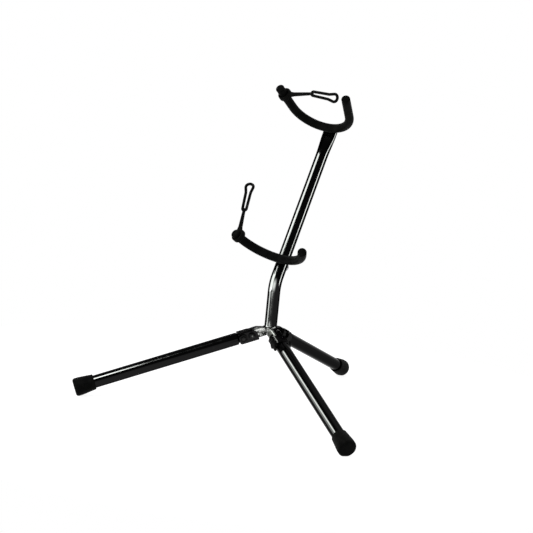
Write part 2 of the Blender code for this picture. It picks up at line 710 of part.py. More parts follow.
def build_upright(stand, stud_holes):
    bend = upright_bend()
    bore_top = up_lean(UPPER_RUN - FLAT_BELOW_STUD - FLAT_TRANSITION)
    bore = [tube_ring(place, TUBE_BORE, TUBE_BORE) for place in [bore_top, *reversed(bend)]]
    outside = [tube_ring(place, TUBE_RADIUS, TUBE_RADIUS) for place in bend]
    tube = loft("upright_tube", bore + outside + upright_flat_rings())
    stand.piece(tube, stand.gloss_black, Matrix.Identity(4))
    for cutter in stud_holes:
        boolean(tube, cutter)


def yoke_path(radius, sweep, arm):
    """A yoke's centre line from its left end to its right end, in its own XY, with arms along -Y."""
    turns = arc((0.0, -radius), radius, math.pi / 2 + sweep, math.pi / 2 - sweep, BEND_STEP)
    run_x = arm * math.cos(sweep)
    run_y = arm * math.sin(sweep)
    left = (turns[0][0] - run_x, turns[0][1] - run_y)
    right = (turns[-1][0] + run_x, turns[-1][1] - run_y)
    return [(x, y, 0.0) for x, y in [left, *turns, right]]


def tip_profile():
    """A tip plug along X: a spigot in the sleeve, then a rounded end."""
    spigot = SLEEVE_BORE - FIT_GAP
    corner = (FIT_GAP + TIP_DOME - TIP_ROUND, SLEEVE_RADIUS - TIP_ROUND)
    return [
        (-TIP_SPIGOT, 0.0),
        (-TIP_SPIGOT, spigot),
        (FIT_GAP, spigot),
        (FIT_GAP, SLEEVE_RADIUS),
        *arc(corner, TIP_ROUND, math.pi / 2, 0.0),
        (FIT_GAP + TIP_DOME, 0.0),
    ]


def arm_end(radius, sweep, arm, side):
    """A frame at the end of a yoke arm, with X out along the arm and Z square to the yoke."""
    turn = math.pi / 2 - side * (math.pi / 2 - sweep)
    along = Vector((side * math.cos(sweep), -math.sin(sweep), 0.0))
    end = Vector((side * radius * math.sin(sweep), -radius * (1.0 - math.cos(sweep)), 0.0)) + along * arm
    return Matrix.Translation(end) @ Matrix.Rotation(-turn, 4, "Z")


def build_yoke(stand, name, run, tilt, turn, shape, carrier_half):
    """A sleeved rod bolted to the upright by a stud. Gives its frame and the hole that its stud needs."""
    radius, sweep, arm = shape
    seat = carrier_half + FIT_GAP + SLEEVE_RADIUS
    stud_axis = up_lean(run)
    turned_on_stud = stud_axis @ Matrix.Translation((0.0, -seat, 0.0)) @ Matrix.Rotation(turn, 4, "Y")
    place = turned_on_stud @ Matrix.Rotation(UPRIGHT_LEAN - tilt, 4, "X")

    sleeve_arm = arm - TIP_DOME - FIT_GAP
    rod_arm = sleeve_arm - TIP_SPIGOT - FIT_GAP
    rod = wire(f"{name}_yoke_rod", yoke_path(radius, sweep, rod_arm), ROD_RADIUS, PIN_SIDES)
    stand.piece(rod, stand.zinc, place)
    washer_middle = carrier_half + FIT_GAP + YOKE_WASHER_THICKNESS / 2
    nut_middle = washer_middle + YOKE_WASHER_THICKNESS / 2 + FIT_GAP + YOKE_NUT_HEIGHT / 2
    stud_end = nut_middle + YOKE_NUT_HEIGHT / 2 + STUD_END_SHOW
    join_shank(stand, rod, STUD_RADIUS, -seat, stud_end, stud_axis)

    hole_radius = STUD_RADIUS + HOLE_GAP
    hole = bar(f"{name}_stud_hole", hole_radius, stud_end + OVERRUN + seat)
    hole_middle = (stud_end + OVERRUN - seat) / 2
    hole = stand.helper(hole, stud_axis @ Matrix.Translation((0.0, hole_middle, 0.0)))
    sleeve = wire(f"{name}_yoke_sleeve", yoke_path(radius, sweep, sleeve_arm), SLEEVE_RADIUS, SLEEVE_SIDES)
    stand.piece(sleeve, stand.sleeve, place)
    bore = wire(f"{name}_sleeve_bore", yoke_path(radius, sweep, sleeve_arm + OVERRUN), SLEEVE_BORE, PIN_SIDES)
    boolean(sleeve, stand.helper(bore, place))
    boolean(sleeve, hole)

    for side, label in ((-1, "left"), (1, "right")):
        tip = turned(f"{name}_yoke_tip_{label}", tip_profile(), SLEEVE_SIDES)
        stand.piece(tip, stand.sleeve, place @ arm_end(radius, sweep, sleeve_arm, side))

    washer = bar(f"{name}_yoke_washer", YOKE_WASHER_RADIUS, YOKE_WASHER_THICKNESS)
    washer_place = stud_axis @ Matrix.Translation((0.0, washer_middle, 0.0))
    collar(stand, washer.name, washer, hole_radius, YOKE_WASHER_THICKNESS, stand.zinc, washer_place)
    nut = hexagon(f"{name}_yoke_nut", YOKE_NUT_FLATS, YOKE_NUT_HEIGHT)
    nut_place = stud_axis @ Matrix.Translation((0.0, nut_middle, 0.0))
    collar(stand, nut.name, nut, hole_radius, YOKE_NUT_HEIGHT, stand.zinc, nut_place)
    return place, hole


def eye_path(droop):
    """The closed loop of a strap's eye from its fork: straight sides to a waist, then a round end."""
    middle = STRAP_EYE_LENGTH - STRAP_EYE_ROUND - STRAP_WIRE
    waist = (middle - STRAP_EYE_NECK, STRAP_EYE_WAIST)
    to_waist = math.hypot(STRAP_EYE_NECK, STRAP_EYE_WAIST)
    touch = math.atan2(STRAP_EYE_WAIST, -STRAP_EYE_NECK) - math.acos(STRAP_EYE_ROUND / to_waist)
    end = arc((middle, 0.0), STRAP_EYE_ROUND, -touch, touch)
    fork = arc((0.0, 0.0), STRAP_FORK_ROUND, math.pi / 2, 3 * math.pi / 2)
    loop = [(waist[0], -waist[1]), *end, waist, *fork]
    at_fork = Matrix.Translation((STRAP_STEM, 0.0, 0.0)) @ Matrix.Rotation(-droop, 4, "Y")
    place = at_fork @ Matrix.Rotation(STRAP_EYE_TWIST, 4, "X")
    return [place @ Vector((along, 0.0, side)) for along, side in loop]


def build_strap(stand, name, arm_frame, from_tip, lift, droop):
    """A moulded strap in local XZ: a ring round the yoke arm along Y, a tapered stem along X and an eye."""
    ring_place = arm_frame @ Matrix.Translation((-from_tip, 0.0, 0.0)) @ Matrix.Rotation(lift, 4, "X")
    across = Matrix.Rotation(math.pi / 2, 4, "Z") @ Matrix.Rotation(math.pi, 4, "X")
    pivot = stand.pivot(f"{name}_strap_pivot", ring_place @ across)
    place = pivot.matrix_world

    ring = bar(f"{name}_strap", STRAP_RING_RADIUS, STRAP_RING_WIDTH, TUBE_SIDES)
    ring.data.transform(Matrix.Translation((STRAP_RING_OFFSET, 0.0, 0.0)))
    stand.piece(ring, stand.rubber, Matrix.Identity(4), pivot)
    rim = ring.modifiers.new("rim", "BEVEL")
    rim.width = STRAP_RING_ROUND
    rim.segments = EDGE_SEGMENTS
    rim.limit_method = "ANGLE"
    rim.angle_limit = RIM_ANGLE

    ring_end = STRAP_RING_RADIUS + STRAP_RING_OFFSET
    stem_stations = [
        ((STRAP_BORE + ring_end) / 2, STRAP_STEM_ROOT),
        (ring_end, STRAP_STEM_ROOT),
        (ring_end + STRAP_NECK_LENGTH, STRAP_STEM_NECK),
        (STRAP_STEM, STRAP_WIRE),
    ]
    stem_path = [(along, 0.0, 0.0) for along, _ in stem_stations]
    stem_scales = [radius / STRAP_WIRE for _, radius in stem_stations]
    stem = wire(f"{name}_strap_stem", stem_path, STRAP_WIRE, STRAP_SIDES, stem_scales)
    eye = wire(f"{name}_strap_eye", eye_path(droop), STRAP_WIRE, STRAP_SIDES, cyclic=True)
    hole = bar(f"{name}_strap_hole", STRAP_BORE, STRAP_RING_WIDTH + 2 * OVERRUN, TUBE_SIDES)
    boolean(ring, stand.helper(stem, place), "UNION")
    boolean(ring, stand.helper(eye, place), "UNION")
    boolean(ring, stand.helper(hole, place))


def main():
    stand = Stand()
    pivot_holes = [build_leg(stand, name, frame) for name, frame in LEG_FRAMES.items()]
    build_hub(stand, pivot_holes)
    build_hub_fasteners(stand)

    upper = (UPPER_BEND_RADIUS, UPPER_SWEEP, UPPER_ARM)
    lower = (LOWER_BEND_RADIUS, LOWER_SWEEP, LOWER_ARM)
    upper_place, upper_hole = build_yoke(
        stand, "upper", UPPER_RUN, UPPER_TILT, UPPER_TURN, upper, FLAT_HALF_THICKNESS
    )
    lower_place, lower_hole = build_yoke(
        stand, "lower", LOWER_RUN, LOWER_TILT, LOWER_TURN, lower, TUBE_RADIUS
    )
    build_upright(stand, [upper_hole, lower_hole])
    upper_end = upper_place @ arm_end(*upper, -1)
    lower_end = lower_place @ arm_end(*lower, -1)
    build_strap(stand, "upper", upper_end, UPPER_STRAP_FROM_TIP, UPPER_STRAP_LIFT, UPPER_STRAP_DROOP)
    build_strap(stand, "lower", lower_end, LOWER_STRAP_FROM_TIP, LOWER_STRAP_LIFT, LOWER_STRAP_DROOP)


main()
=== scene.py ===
"""Looks for a folding saxophone stand: finer meshes, materials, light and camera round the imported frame."""

import json
import math

import bmesh
import bpy
from mathutils import Matrix, Vector


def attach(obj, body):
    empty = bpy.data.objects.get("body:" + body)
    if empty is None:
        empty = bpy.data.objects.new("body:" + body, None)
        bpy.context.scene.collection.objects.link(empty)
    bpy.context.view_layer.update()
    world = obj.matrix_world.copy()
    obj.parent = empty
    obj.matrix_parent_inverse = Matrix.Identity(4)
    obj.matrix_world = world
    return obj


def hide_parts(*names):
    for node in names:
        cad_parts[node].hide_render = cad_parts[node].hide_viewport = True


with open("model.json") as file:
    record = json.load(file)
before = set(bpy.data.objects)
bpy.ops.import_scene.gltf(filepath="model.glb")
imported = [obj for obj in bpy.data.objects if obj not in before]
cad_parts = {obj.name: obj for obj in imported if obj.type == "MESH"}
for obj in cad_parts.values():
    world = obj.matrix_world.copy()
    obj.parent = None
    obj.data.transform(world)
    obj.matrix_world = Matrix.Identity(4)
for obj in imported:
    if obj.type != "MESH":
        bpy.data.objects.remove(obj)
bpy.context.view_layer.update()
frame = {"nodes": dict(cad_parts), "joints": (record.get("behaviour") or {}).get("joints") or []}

MM = 0.001
QUARTER = math.pi / 2

# Sizes of the solids, as the part's source has them
FIT_GAP = 0.3 * MM
HOLE_GAP = 0.25 * MM
LEG_SLOPE = math.radians(20.1)
FRONT_SPREAD = math.radians(50.9)
LEG_REACH = 257.0 * MM
TUBE_RADIUS = 8.0 * MM
TUBE_WALL = 1.2 * MM
NECK_RADIUS = 6.2 * MM
NECK_TAPER = 1.6 * MM
PIVOT_REACH = 26.0 * MM
LEG_BOLT_BEYOND_PIVOT = 12.0 * MM
BRACKET_SHEET = 1.3 * MM
BRACKET_BEYOND_BOLT = 4.8 * MM
HUB_SHEET = 1.5 * MM
HUB_TOP_RISE = 1.9 * MM
HUB_DROP = 5.2 * MM
HUB_BOLT_RADIUS = 2.5 * MM
HUB_BOLT_FLATS = 8.0 * MM
HUB_BOLT_HEAD = 3.5 * MM
HUB_WASHER_RADIUS = 4.6 * MM
HUB_WASHER_THICKNESS = 1.0 * MM
PLUG_LENGTH = 20.0 * MM
RIVET_RADIUS = 2.5 * MM
RIVET_HEAD_RADIUS = 4.6 * MM
RIVET_HEAD_HEIGHT = 2.2 * MM
LEG_BOLT_RADIUS = 3.0 * MM
LEG_BOLT_FLATS = 10.0 * MM
LEG_BOLT_HEAD = 4.0 * MM
LEG_NUT_HEIGHT = 3.8 * MM
BOLT_END_SHOW = 1.0 * MM
CAP_LENGTH = 26.0 * MM
CAP_MOUTH_RADIUS = 9.7 * MM
CAP_END_RADIUS = 11.4 * MM
CAP_END_ROUND = 3.2 * MM
CAP_FLOOR = 4.5 * MM
CAP_MOUTH_CHAMFER = 0.8 * MM
CAP_FLARE_LENGTH = 18.0 * MM
UPRIGHT_BEND_HEIGHT = 58.0 * MM
UPRIGHT_LEAN = math.radians(32.5)
UPRIGHT_BEND_RADIUS = 38.0 * MM
UPPER_RUN = 224.9 * MM
FLAT_HALF_WIDTH = 9.7 * MM
FLAT_HALF_THICKNESS = 4.2 * MM
FLAT_BELOW_STUD = 5.0 * MM
FLAT_ABOVE_STUD = 5.6 * MM
FLAT_TRANSITION = 34.0 * MM
FLAT_CORNER_ROUND = 4.0 * MM
ROD_RADIUS = 3.5 * MM
SLEEVE_RADIUS = 5.7 * MM
STUD_RADIUS = 2.5 * MM
STUD_END_SHOW = 1.5 * MM
YOKE_NUT_FLATS = 8.0 * MM
YOKE_NUT_HEIGHT = 4.0 * MM
YOKE_WASHER_RADIUS = 5.5 * MM
YOKE_WASHER_THICKNESS = 1.0 * MM
TIP_DOME = 3.0 * MM
TIP_ROUND = 2.0 * MM
TIP_SPIGOT = 6.0 * MM
STRAP_RING_RADIUS = 8.8 * MM
STRAP_RING_OFFSET = 1.2 * MM
STRAP_RING_WIDTH = 7.0 * MM
STRAP_RING_ROUND = 1.2 * MM
STRAP_STEM = 43.547 * MM
STRAP_STEM_ROOT = 3.4 * MM
STRAP_STEM_NECK = 2.7 * MM
STRAP_NECK_LENGTH = 6.0 * MM
STRAP_WIRE = 1.9 * MM
STRAP_EYE_LENGTH = 41.5 * MM
STRAP_EYE_ROUND = 4.9 * MM
STRAP_EYE_WAIST = 3.1 * MM
STRAP_EYE_NECK = 9.0 * MM
STRAP_FORK_ROUND = 2.5 * MM
STRAP_EYE_TWIST = math.radians(30.0)
TUBE_BORE = TUBE_RADIUS - TUBE_WALL
LEG_BOLT_REACH = PIVOT_REACH + LEG_BOLT_BEYOND_PIVOT
BRACKET_OUTER_END = LEG_BOLT_REACH + BRACKET_BEYOND_BOLT
BRACKET_OUTSIDE = NECK_RADIUS + FIT_GAP + BRACKET_SHEET
SLEEVE_BORE = ROD_RADIUS + FIT_GAP
STRAP_BORE = SLEEVE_RADIUS + FIT_GAP

# Each yoke: where its stud is on the upright, how it is bent and turned, and how its strap hangs
YOKES = {
    "upper": {
        "run": UPPER_RUN,
        "radius": 41.4 * MM,
        "sweep": math.radians(80.5),
        "arm": 40.6 * MM,
        "tilt": math.radians(37.2),
        "turn": math.radians(2.7),
        "carrier": FLAT_HALF_THICKNESS,
        "strap_from_tip": 14.6 * MM,
        "strap_lift": math.radians(5.3),
        "strap_droop": math.radians(13.5),
    },
    "lower": {
        "run": 28.9 * MM,
        "radius": 48.7 * MM,
        "sweep": math.radians(68.9),
        "arm": 11.6 * MM,
        "tilt": math.radians(33.8),
        "turn": math.radians(6.0),
        "carrier": TUBE_RADIUS,
        "strap_from_tip": 8.2 * MM,
        "strap_lift": math.radians(110.0),
        "strap_droop": math.radians(1.0),
    },
}

# Small forms that only the scene has
EDGE = 0.25 * MM
FOOT_FLARE = 1.5 * MM
TOP_ROUND = 1.0 * MM
TOP_THINNING = 0.5
OVAL_SPREAD = 2.0
THREAD_PITCH = 0.8 * MM
THREAD_DEPTH = 0.35 * MM
HEX_DISC_SHARE = 0.94
HEX_CENTRE_SHARE = 0.90
HEX_CHAMFER = math.radians(30.0)
NUT_CHAMFER = 0.5 * MM
WASHER_EDGE = 0.2 * MM
RIVET_DOME = (math.radians(8.0), math.radians(80.0))
RIVET_RIM_SHARE = 0.96
CAP_CENTRE_SHARE = 0.4
TIP_CENTRE_SHARE = 0.3
TIP_CROWN = math.radians(6.0)
RING_TURNS = (0.0, 0.4, 0.8, 1.2, 1.57)
RING_BORE_ROOM = 0.05 * MM
RING_BORE_EDGE = 0.4 * MM
MELT_VOXEL = 0.32 * MM
MELT_SMOOTHING = 0.5
MELT_PASSES = 8
BEVEL_WIDTH = 0.3 * MM
BEVEL_SEGMENTS = 2
BEVEL_ANGLE = math.radians(40.0)

# Fineness of the visual meshes
SIDES = 72
SLEEVE_SIDES = 40
RIVET_SIDES = 36
ROD_SIDES = 32
STEM_SIDES = 28
WIRE_SIDES = 24
FINE_STEP = math.radians(7.5)
EDGE_STEP = math.radians(30.0)
LIP_STEP = math.radians(18.0)
FLARE_STEP = math.radians(10.0)
BEND_STEP = math.radians(2.0)
THREAD_STEPS = 8
TAPER_STEPS = 10
LEG_STEPS = 12
CAP_STEPS = 12
FOOT_STEPS = 4
LEAN_STEPS = 16
FLAT_STEPS = 24
ARM_STEPS = 10
STEM_STEPS = 40
EYE_END_STEPS = 6
EYE_SIDE_STEPS = 16
SHARP = math.radians(32.0)
MERGE = 0.001 * MM
CUT_MERGE = 0.0001 * MM

# Bright plate on the hub, measured from the apex: where the darker low part ends upwards and to the right,
# and where the plate, a painted reflection, starts from the left and towards the front
DARKER_LOW_TOP = (-3.6 * MM, -0.8 * MM)
DARKER_LOW_RIGHT = (1.0 * MM, 3.0 * MM)
PAINTED_REFLECTION_LEFT = (-14.5 * MM, -12.5 * MM)
PAINTED_REFLECTION_FACING = (-0.60, -0.42)

# Camera, fitted to the photo. Its shifts are from the apex, and its focal length is in widths of the picture
CAMERA_AZIMUTH = math.radians(26.47)
CAMERA_ELEVATION = math.radians(8.73)
CAMERA_ROLL = math.radians(5.55)
CAMERA_RIGHT = -4.937 * MM
CAMERA_UP = 78.48 * MM
CAMERA_BACK = 2000.0 * MM
CAMERA_SENSOR = 36.0
CAMERA_FOCAL = 1580.0 / 533.0

# Studio
FLOOR_RADIUS = 0.5
FLOOR_SIDES = 96
FLOOR_GREY = 0.30
FLOOR_GLOW = 0.90
FLOOR_RIM = (0.6 * FLOOR_RADIUS, 0.95 * FLOOR_RADIUS)
STUDIO_DIM = 0.15
STUDIO_RAMPS = {"Z": (0.27, 0.19), "Y": (0.10, 0.45)}
KEY_SIZE = 1.6
KEY_POWER = 62.0
KEY_DISTANCE = 2.6
KEY_WAY = Vector((-0.45, -0.55, 0.70)).normalized()
LAMP_DISTANCE = 4.0
LAMP_OVERHANG = 0.15
LAMP_END_FADE = 0.10
LAMP_COLOUR = (0.94, 1.0, 0.93)
GLINT_SIDE = (0.870, -0.492)
GLINT_RISES = (0.7, 1.4)


def finish_mesh(name, shape):
    bmesh.ops.remove_doubles(shape, verts=shape.verts, dist=MERGE)
    bmesh.ops.recalc_face_normals(shape, faces=shape.faces)
    mesh = bpy.data.meshes.new(name)
    shape.to_mesh(mesh)
    shape.free()
    mesh.shade_smooth()
    mesh.set_sharp_from_angle(angle=SHARP)
    obj = bpy.data.objects.new(name, mesh)
    bpy.context.scene.collection.objects.link(obj)
    return obj


def add_rows(shape, rows, loop=False):
    """Faces between rows of points. A row of one point closes to a tip, other open ends are filled."""
    made = [[shape.verts.new(point) for point in row] for row in rows]
    pairs = list(zip(made, made[1:]))
    if loop:
        pairs.append((made[-1], made[0]))
    for low, high in pairs:
        for i in range(max(len(low), len(high))):
            low_pair = [low[(i - 1) % len(low)], low[i % len(low)]]
            high_pair = [high[i % len(high)], high[(i - 1) % len(high)]]
            shape.faces.new(list(dict.fromkeys(low_pair + high_pair)))
    if not loop:
        for end in (made[0], made[-1]):
            if len(end) > 1:
                shape.faces.new(end)


def rows_object(name, rows, loop=False):
    shape = bmesh.new()
    add_rows(shape, rows, loop)
    return finish_mesh(name, shape)


def turned_rows(place, profile, sides=SIDES):
    """Rows round local X. Each profile entry is (along, radius), or a function of the angle that gives it."""
    rows = []
    for entry in profile:
        row = []
        for i in range(sides):
            angle = math.tau * i / sides
            along, radius = entry(angle) if callable(entry) else entry
            row.append(place @ Vector((along, radius * math.cos(angle), radius * math.sin(angle))))
            if radius == 0.0:
                break
        rows.append(row)
    return rows


def turned(name, place, profile, loop=False, sides=SIDES):
    return rows_object(name, turned_rows(place, profile, sides), loop)


def arc(centre, radius, start, end, step=FINE_STEP):
    count = max(2, math.ceil(abs(end - start) / step))
    angles = [start + (end - start) * i / count for i in range(count + 1)]
    return [(centre[0] + radius * math.cos(a), centre[1] + radius * math.sin(a)) for a in angles]


def between(start, end, count):
    """Points from start towards end, without the end."""
    return [tuple(a + (b - a) * i / count for a, b in zip(start, end)) for i in range(count)]


def shares(count):
    """Even shares from 0 to 1."""
    return [i / count for i in range(count + 1)]


def smooth(share):
    return share * share * (3.0 - 2.0 * share)


def round_edge(along_sign, along, radius, edge):
    """A rounded outer edge at the end of a turned piece, from its end face to its side, or back."""
    centre = (along - along_sign * edge, radius - edge)
    quarter = arc(centre, edge, QUARTER, QUARTER - along_sign * QUARTER, EDGE_STEP)
    return quarter if along_sign > 0 else quarter[::-1]


# Frames of the legs, the upright and the yokes


def leg_frame(azimuth):
    """Local X runs out along the leg's axis, Y to its left and Z up, square to the leg."""
    flat = Vector((math.cos(azimuth), math.sin(azimuth), 0.0))
    up = Vector((0.0, 0.0, 1.0))
    out = flat * math.cos(LEG_SLOPE) - up * math.sin(LEG_SLOPE)
    top = flat * math.sin(LEG_SLOPE) + up * math.cos(LEG_SLOPE)
    return Matrix((out, top.cross(out), top)).transposed().to_4x4()


LEG_FRAMES = {
    "front_left": leg_frame(-QUARTER - FRONT_SPREAD),
    "front_right": leg_frame(-QUARTER + FRONT_SPREAD),
    "back": leg_frame(QUARTER),
}


def find_apex():
    """The point where the leg axes meet, from the pivot of the back leg."""
    pivot = next(joint for joint in frame["joints"] if joint["name"] == "back_leg_fold")
    along = LEG_FRAMES["back"].to_3x3().col[0]
    return Vector(pivot["pos_m"]) - along * PIVOT_REACH


APEX_POINT = find_apex()
APEX = Matrix.Translation(APEX_POINT)
LEAN = APEX @ Matrix.Translation((0.0, 0.0, UPRIGHT_BEND_HEIGHT)) @ Matrix.Rotation(-UPRIGHT_LEAN, 4, "X")
ALONG_Y = Matrix.Rotation(QUARTER, 4, "Z")
UPWARD = Matrix.Rotation(-QUARTER, 4, "Y")


def up_lean(run):
    return LEAN @ Matrix.Translation((0.0, 0.0, run))


# Materials


class Nodes:
    """Shortcuts for the nodes of a tree."""

    def __init__(self, tree):
        self.tree = tree

    def node(self, kind, **values):
        made = self.tree.nodes.new(kind)
        for key, value in values.items():
            setattr(made, key, value)
        return made

    def link(self, source, target):
        self.tree.links.new(source, target)

    def part(self, vector, axis):
        split = self.node("ShaderNodeSeparateXYZ")
        self.link(vector, split.inputs[0])
        return split.outputs[axis]

    def spread(self, value, low, high, to_low=0.0, to_high=1.0, **values):
        """Maps a value from between low and high, and keeps it in its new range."""
        made = self.node("ShaderNodeMapRange", **values)
        made.inputs["From Min"].default_value = low
        made.inputs["From Max"].default_value = high
        made.inputs["To Min"].default_value = to_low
        made.inputs["To Max"].default_value = to_high
        self.link(value, made.inputs["Value"])
        return made.outputs["Result"]

    def math(self, operation, first, second):
        made = self.node("ShaderNodeMath", operation=operation)
        for socket, value in zip(made.inputs, (first, second)):
            if isinstance(value, float):
                socket.default_value = value
            else:
                self.link(value, socket)
        return made.outputs["Value"]


class Paint(Nodes):
    """A principled material. Its textures use object coordinates, in metres."""

    def __init__(self, name, metallic=0.0, ior=1.5, edge_tint=1.0):
        self.material = bpy.data.materials.new(name)
        self.material.use_nodes = True
        super().__init__(self.material.node_tree)
        self.shader = self.tree.nodes["Principled BSDF"]
        self.shader.inputs["Metallic"].default_value = metallic
        self.shader.inputs["IOR"].default_value = ior
        self.shader.inputs["Specular Tint"].default_value = (edge_tint, edge_tint, edge_tint, 1.0)
        self.place = self.node("ShaderNodeTexCoord").outputs["Object"]

    def noise(self, scale, detail=3.0, roughness=0.55):
        made = self.node("ShaderNodeTexNoise")
        made.inputs["Scale"].default_value = scale
        made.inputs["Detail"].default_value = detail
        made.inputs["Roughness"].default_value = roughness
        self.link(self.place, made.inputs["Vector"])
        return made.outputs["Fac"]

    def mottle(self, scale, low, high, to_low=0.0, to_high=1.0, **kind):
        """Noise, spread from between low and high to a range."""
        return self.spread(self.noise(scale, **kind), low, high, to_low, to_high)

    def cells(self, scale):
        made = self.node("ShaderNodeTexVoronoi")
        made.inputs["Scale"].default_value = scale
        self.link(self.place, made.inputs["Vector"])
        return made.outputs["Distance"]

    def scaled(self, value, factor):
        return self.math("MULTIPLY", value, factor)

    def mix(self, share, under, over):
        made = self.node("ShaderNodeMix", data_type="RGBA")
        self.link(share, made.inputs["Factor"])
        colours = [socket for socket in made.inputs if socket.type == "RGBA"]
        for socket, value in zip(colours, (under, over)):
            if isinstance(value, tuple):
                socket.default_value = (*value, 1.0)
            else:
                self.link(value, socket)
        return next(socket for socket in made.outputs if socket.type == "RGBA")

    def along(self, axis):
        return self.part(self.place, axis)

    def facing(self, axis):
        """How far the surface faces along an axis, from -1 to 1."""
        return self.part(self.node("ShaderNodeNewGeometry").outputs["Normal"], axis)

    def edges(self, low, high):
        """Worn edges, from how sharply the surface turns, broken up by noise."""
        sharp = self.spread(self.node("ShaderNodeNewGeometry").outputs["Pointiness"], low, high)
        return self.math("MULTIPLY", sharp, self.mottle(scale=900.0, low=0.45, high=0.62))

    def colour(self, source):
        self.link(source, self.shader.inputs["Base Color"])

    def roughness(self, source):
        self.link(source, self.shader.inputs["Roughness"])

    def bump(self, height, strength, depth):
        made = self.node("ShaderNodeBump")
        made.inputs["Strength"].default_value = strength
        made.inputs["Distance"].default_value = depth
        self.link(height, made.inputs["Height"])
        self.link(made.outputs["Normal"], self.shader.inputs["Normal"])


def gloss_black_paint(name, edge_tint):
    """Stove enamel on tube: deep black, with faint orange peel, smears and dust."""
    paint = Paint(name, metallic=1.0, edge_tint=edge_tint)
    dust = paint.mottle(scale=240.0, detail=6.0, roughness=0.7, low=0.58, high=0.80)
    paint.colour(paint.mix(dust, under=(0.0118, 0.0116, 0.0119), over=(0.020, 0.0195, 0.0195)))
    smear = paint.mottle(scale=70.0, detail=4.0, low=0.35, high=0.75, to_low=0.05, to_high=0.13)
    paint.roughness(paint.math("ADD", smear, paint.scaled(dust, factor=0.10)))
    paint.bump(paint.noise(scale=420.0, detail=2.0), strength=0.05, depth=0.05 * MM)
    return paint.material


def black_sheet_paint():
    """Black paint on pressed sheet: a little duller than the tubes, rubbed thin on its edges."""
    paint = Paint("black_pressed_sheet", metallic=1.0, edge_tint=0.35)
    worn = paint.edges(low=0.56, high=0.70)
    tone = paint.mottle(scale=160.0, detail=5.0, low=0.35, high=0.75)
    black = paint.mix(tone, under=(0.0105, 0.0102, 0.0108), over=(0.018, 0.0175, 0.018))
    paint.colour(paint.mix(worn, under=black, over=(0.075, 0.073, 0.070)))
    paint.roughness(paint.mottle(scale=300.0, detail=4.0, low=0.3, high=0.7, to_low=0.16, to_high=0.30))
    paint.bump(paint.noise(scale=650.0), strength=0.10, depth=0.06 * MM)
    return paint.material


def plate_with_painted_reflection():
    """Pressed sheet, rippled, with dark patches, darker low down; bright plate on its front middle, black
    elsewhere, a painted reflection.
    """
    paint = Paint("plate_painted_reflection", metallic=1.0, edge_tint=0.3)
    across = paint.along("X")

    def up_to(value, start, limits):
        """1 below the limits, which are counted from the start, and 0 above them."""
        low, high = limits
        return paint.spread(value, start + low, start + high, to_low=1.0, to_high=0.0)

    patches = paint.mottle(scale=230.0, detail=7.0, roughness=0.72, low=0.53, high=0.63)
    # Darker below the apex and left of just past it, mixed with random dark patches
    low = up_to(paint.along("Z"), APEX_POINT.z, DARKER_LOW_TOP)
    left = up_to(across, APEX_POINT.x, DARKER_LOW_RIGHT)
    blotches = paint.mottle(scale=300.0, detail=5.0, low=0.32, high=0.50)
    darker_low_left = paint.math("MULTIPLY", paint.math("MULTIPLY", low, left), blotches)
    dark_patches_and_low = paint.math("MAXIMUM", patches, darker_low_left)
    plated = paint.mix(dark_patches_and_low, under=(0.90, 0.92, 0.88), over=(0.022, 0.023, 0.021))

    # Painted reflection: faces turned to the front near the middle show bright plate, faces turned away and
    # the part to the left are coloured black
    ragged = paint.mottle(scale=420.0, detail=4.0, low=0.3, high=0.7, to_low=-0.10, to_high=0.10)
    behind = paint.spread(paint.math("ADD", paint.facing("Y"), ragged), *PAINTED_REFLECTION_FACING)
    ragged_side = paint.math("ADD", across, paint.scaled(ragged, factor=15.0 * MM))
    painted_dark_aside = up_to(ragged_side, APEX_POINT.x, PAINTED_REFLECTION_LEFT)
    paint.colour(paint.mix(paint.math("MAXIMUM", behind, painted_dark_aside), under=plated, over=(0.013, 0.0125, 0.013)))
    paint.roughness(paint.mottle(scale=500.0, detail=4.0, low=0.3, high=0.7, to_low=0.12, to_high=0.30))
    fine_ripple = paint.scaled(paint.noise(scale=620.0), factor=0.35)
    ripple = paint.math("ADD", paint.noise(scale=110.0, detail=5.0, roughness=0.7), fine_ripple)
    paint.bump(ripple, strength=0.55, depth=1.2 * MM)
    return paint.material


def zinc_metal():
    """Zinc plate on fasteners: grey metal, spangled and a little stained."""
    paint = Paint("zinc_plate", metallic=1.0)
    stain = paint.mottle(scale=380.0, detail=6.0, roughness=0.7, low=0.48, high=0.75)
    paint.colour(paint.mix(stain, under=(0.52, 0.53, 0.54), over=(0.24, 0.235, 0.22)))
    paint.roughness(paint.spread(paint.cells(scale=900.0), low=0.0, high=0.7, to_low=0.22, to_high=0.42))
    paint.bump(paint.noise(scale=1500.0), strength=0.15, depth=0.05 * MM)
    return paint.material


def black_steel():
    """Blackened bolts, nuts and rivets, rubbed a little on their corners."""
    paint = Paint("blackened_steel", metallic=1.0, edge_tint=0.5)
    worn = paint.edges(low=0.56, high=0.72)
    tone = paint.mottle(scale=500.0, detail=5.0, low=0.35, high=0.7)
    black = paint.mix(tone, under=(0.012, 0.012, 0.0125), over=(0.024, 0.0235, 0.023))
    paint.colour(paint.mix(worn, under=black, over=(0.13, 0.127, 0.12)))
    paint.roughness(paint.mottle(scale=900.0, detail=4.0, low=0.3, high=0.7, to_low=0.20, to_high=0.36))
    paint.bump(paint.noise(scale=1400.0), strength=0.2, depth=0.05 * MM)
    return paint.material


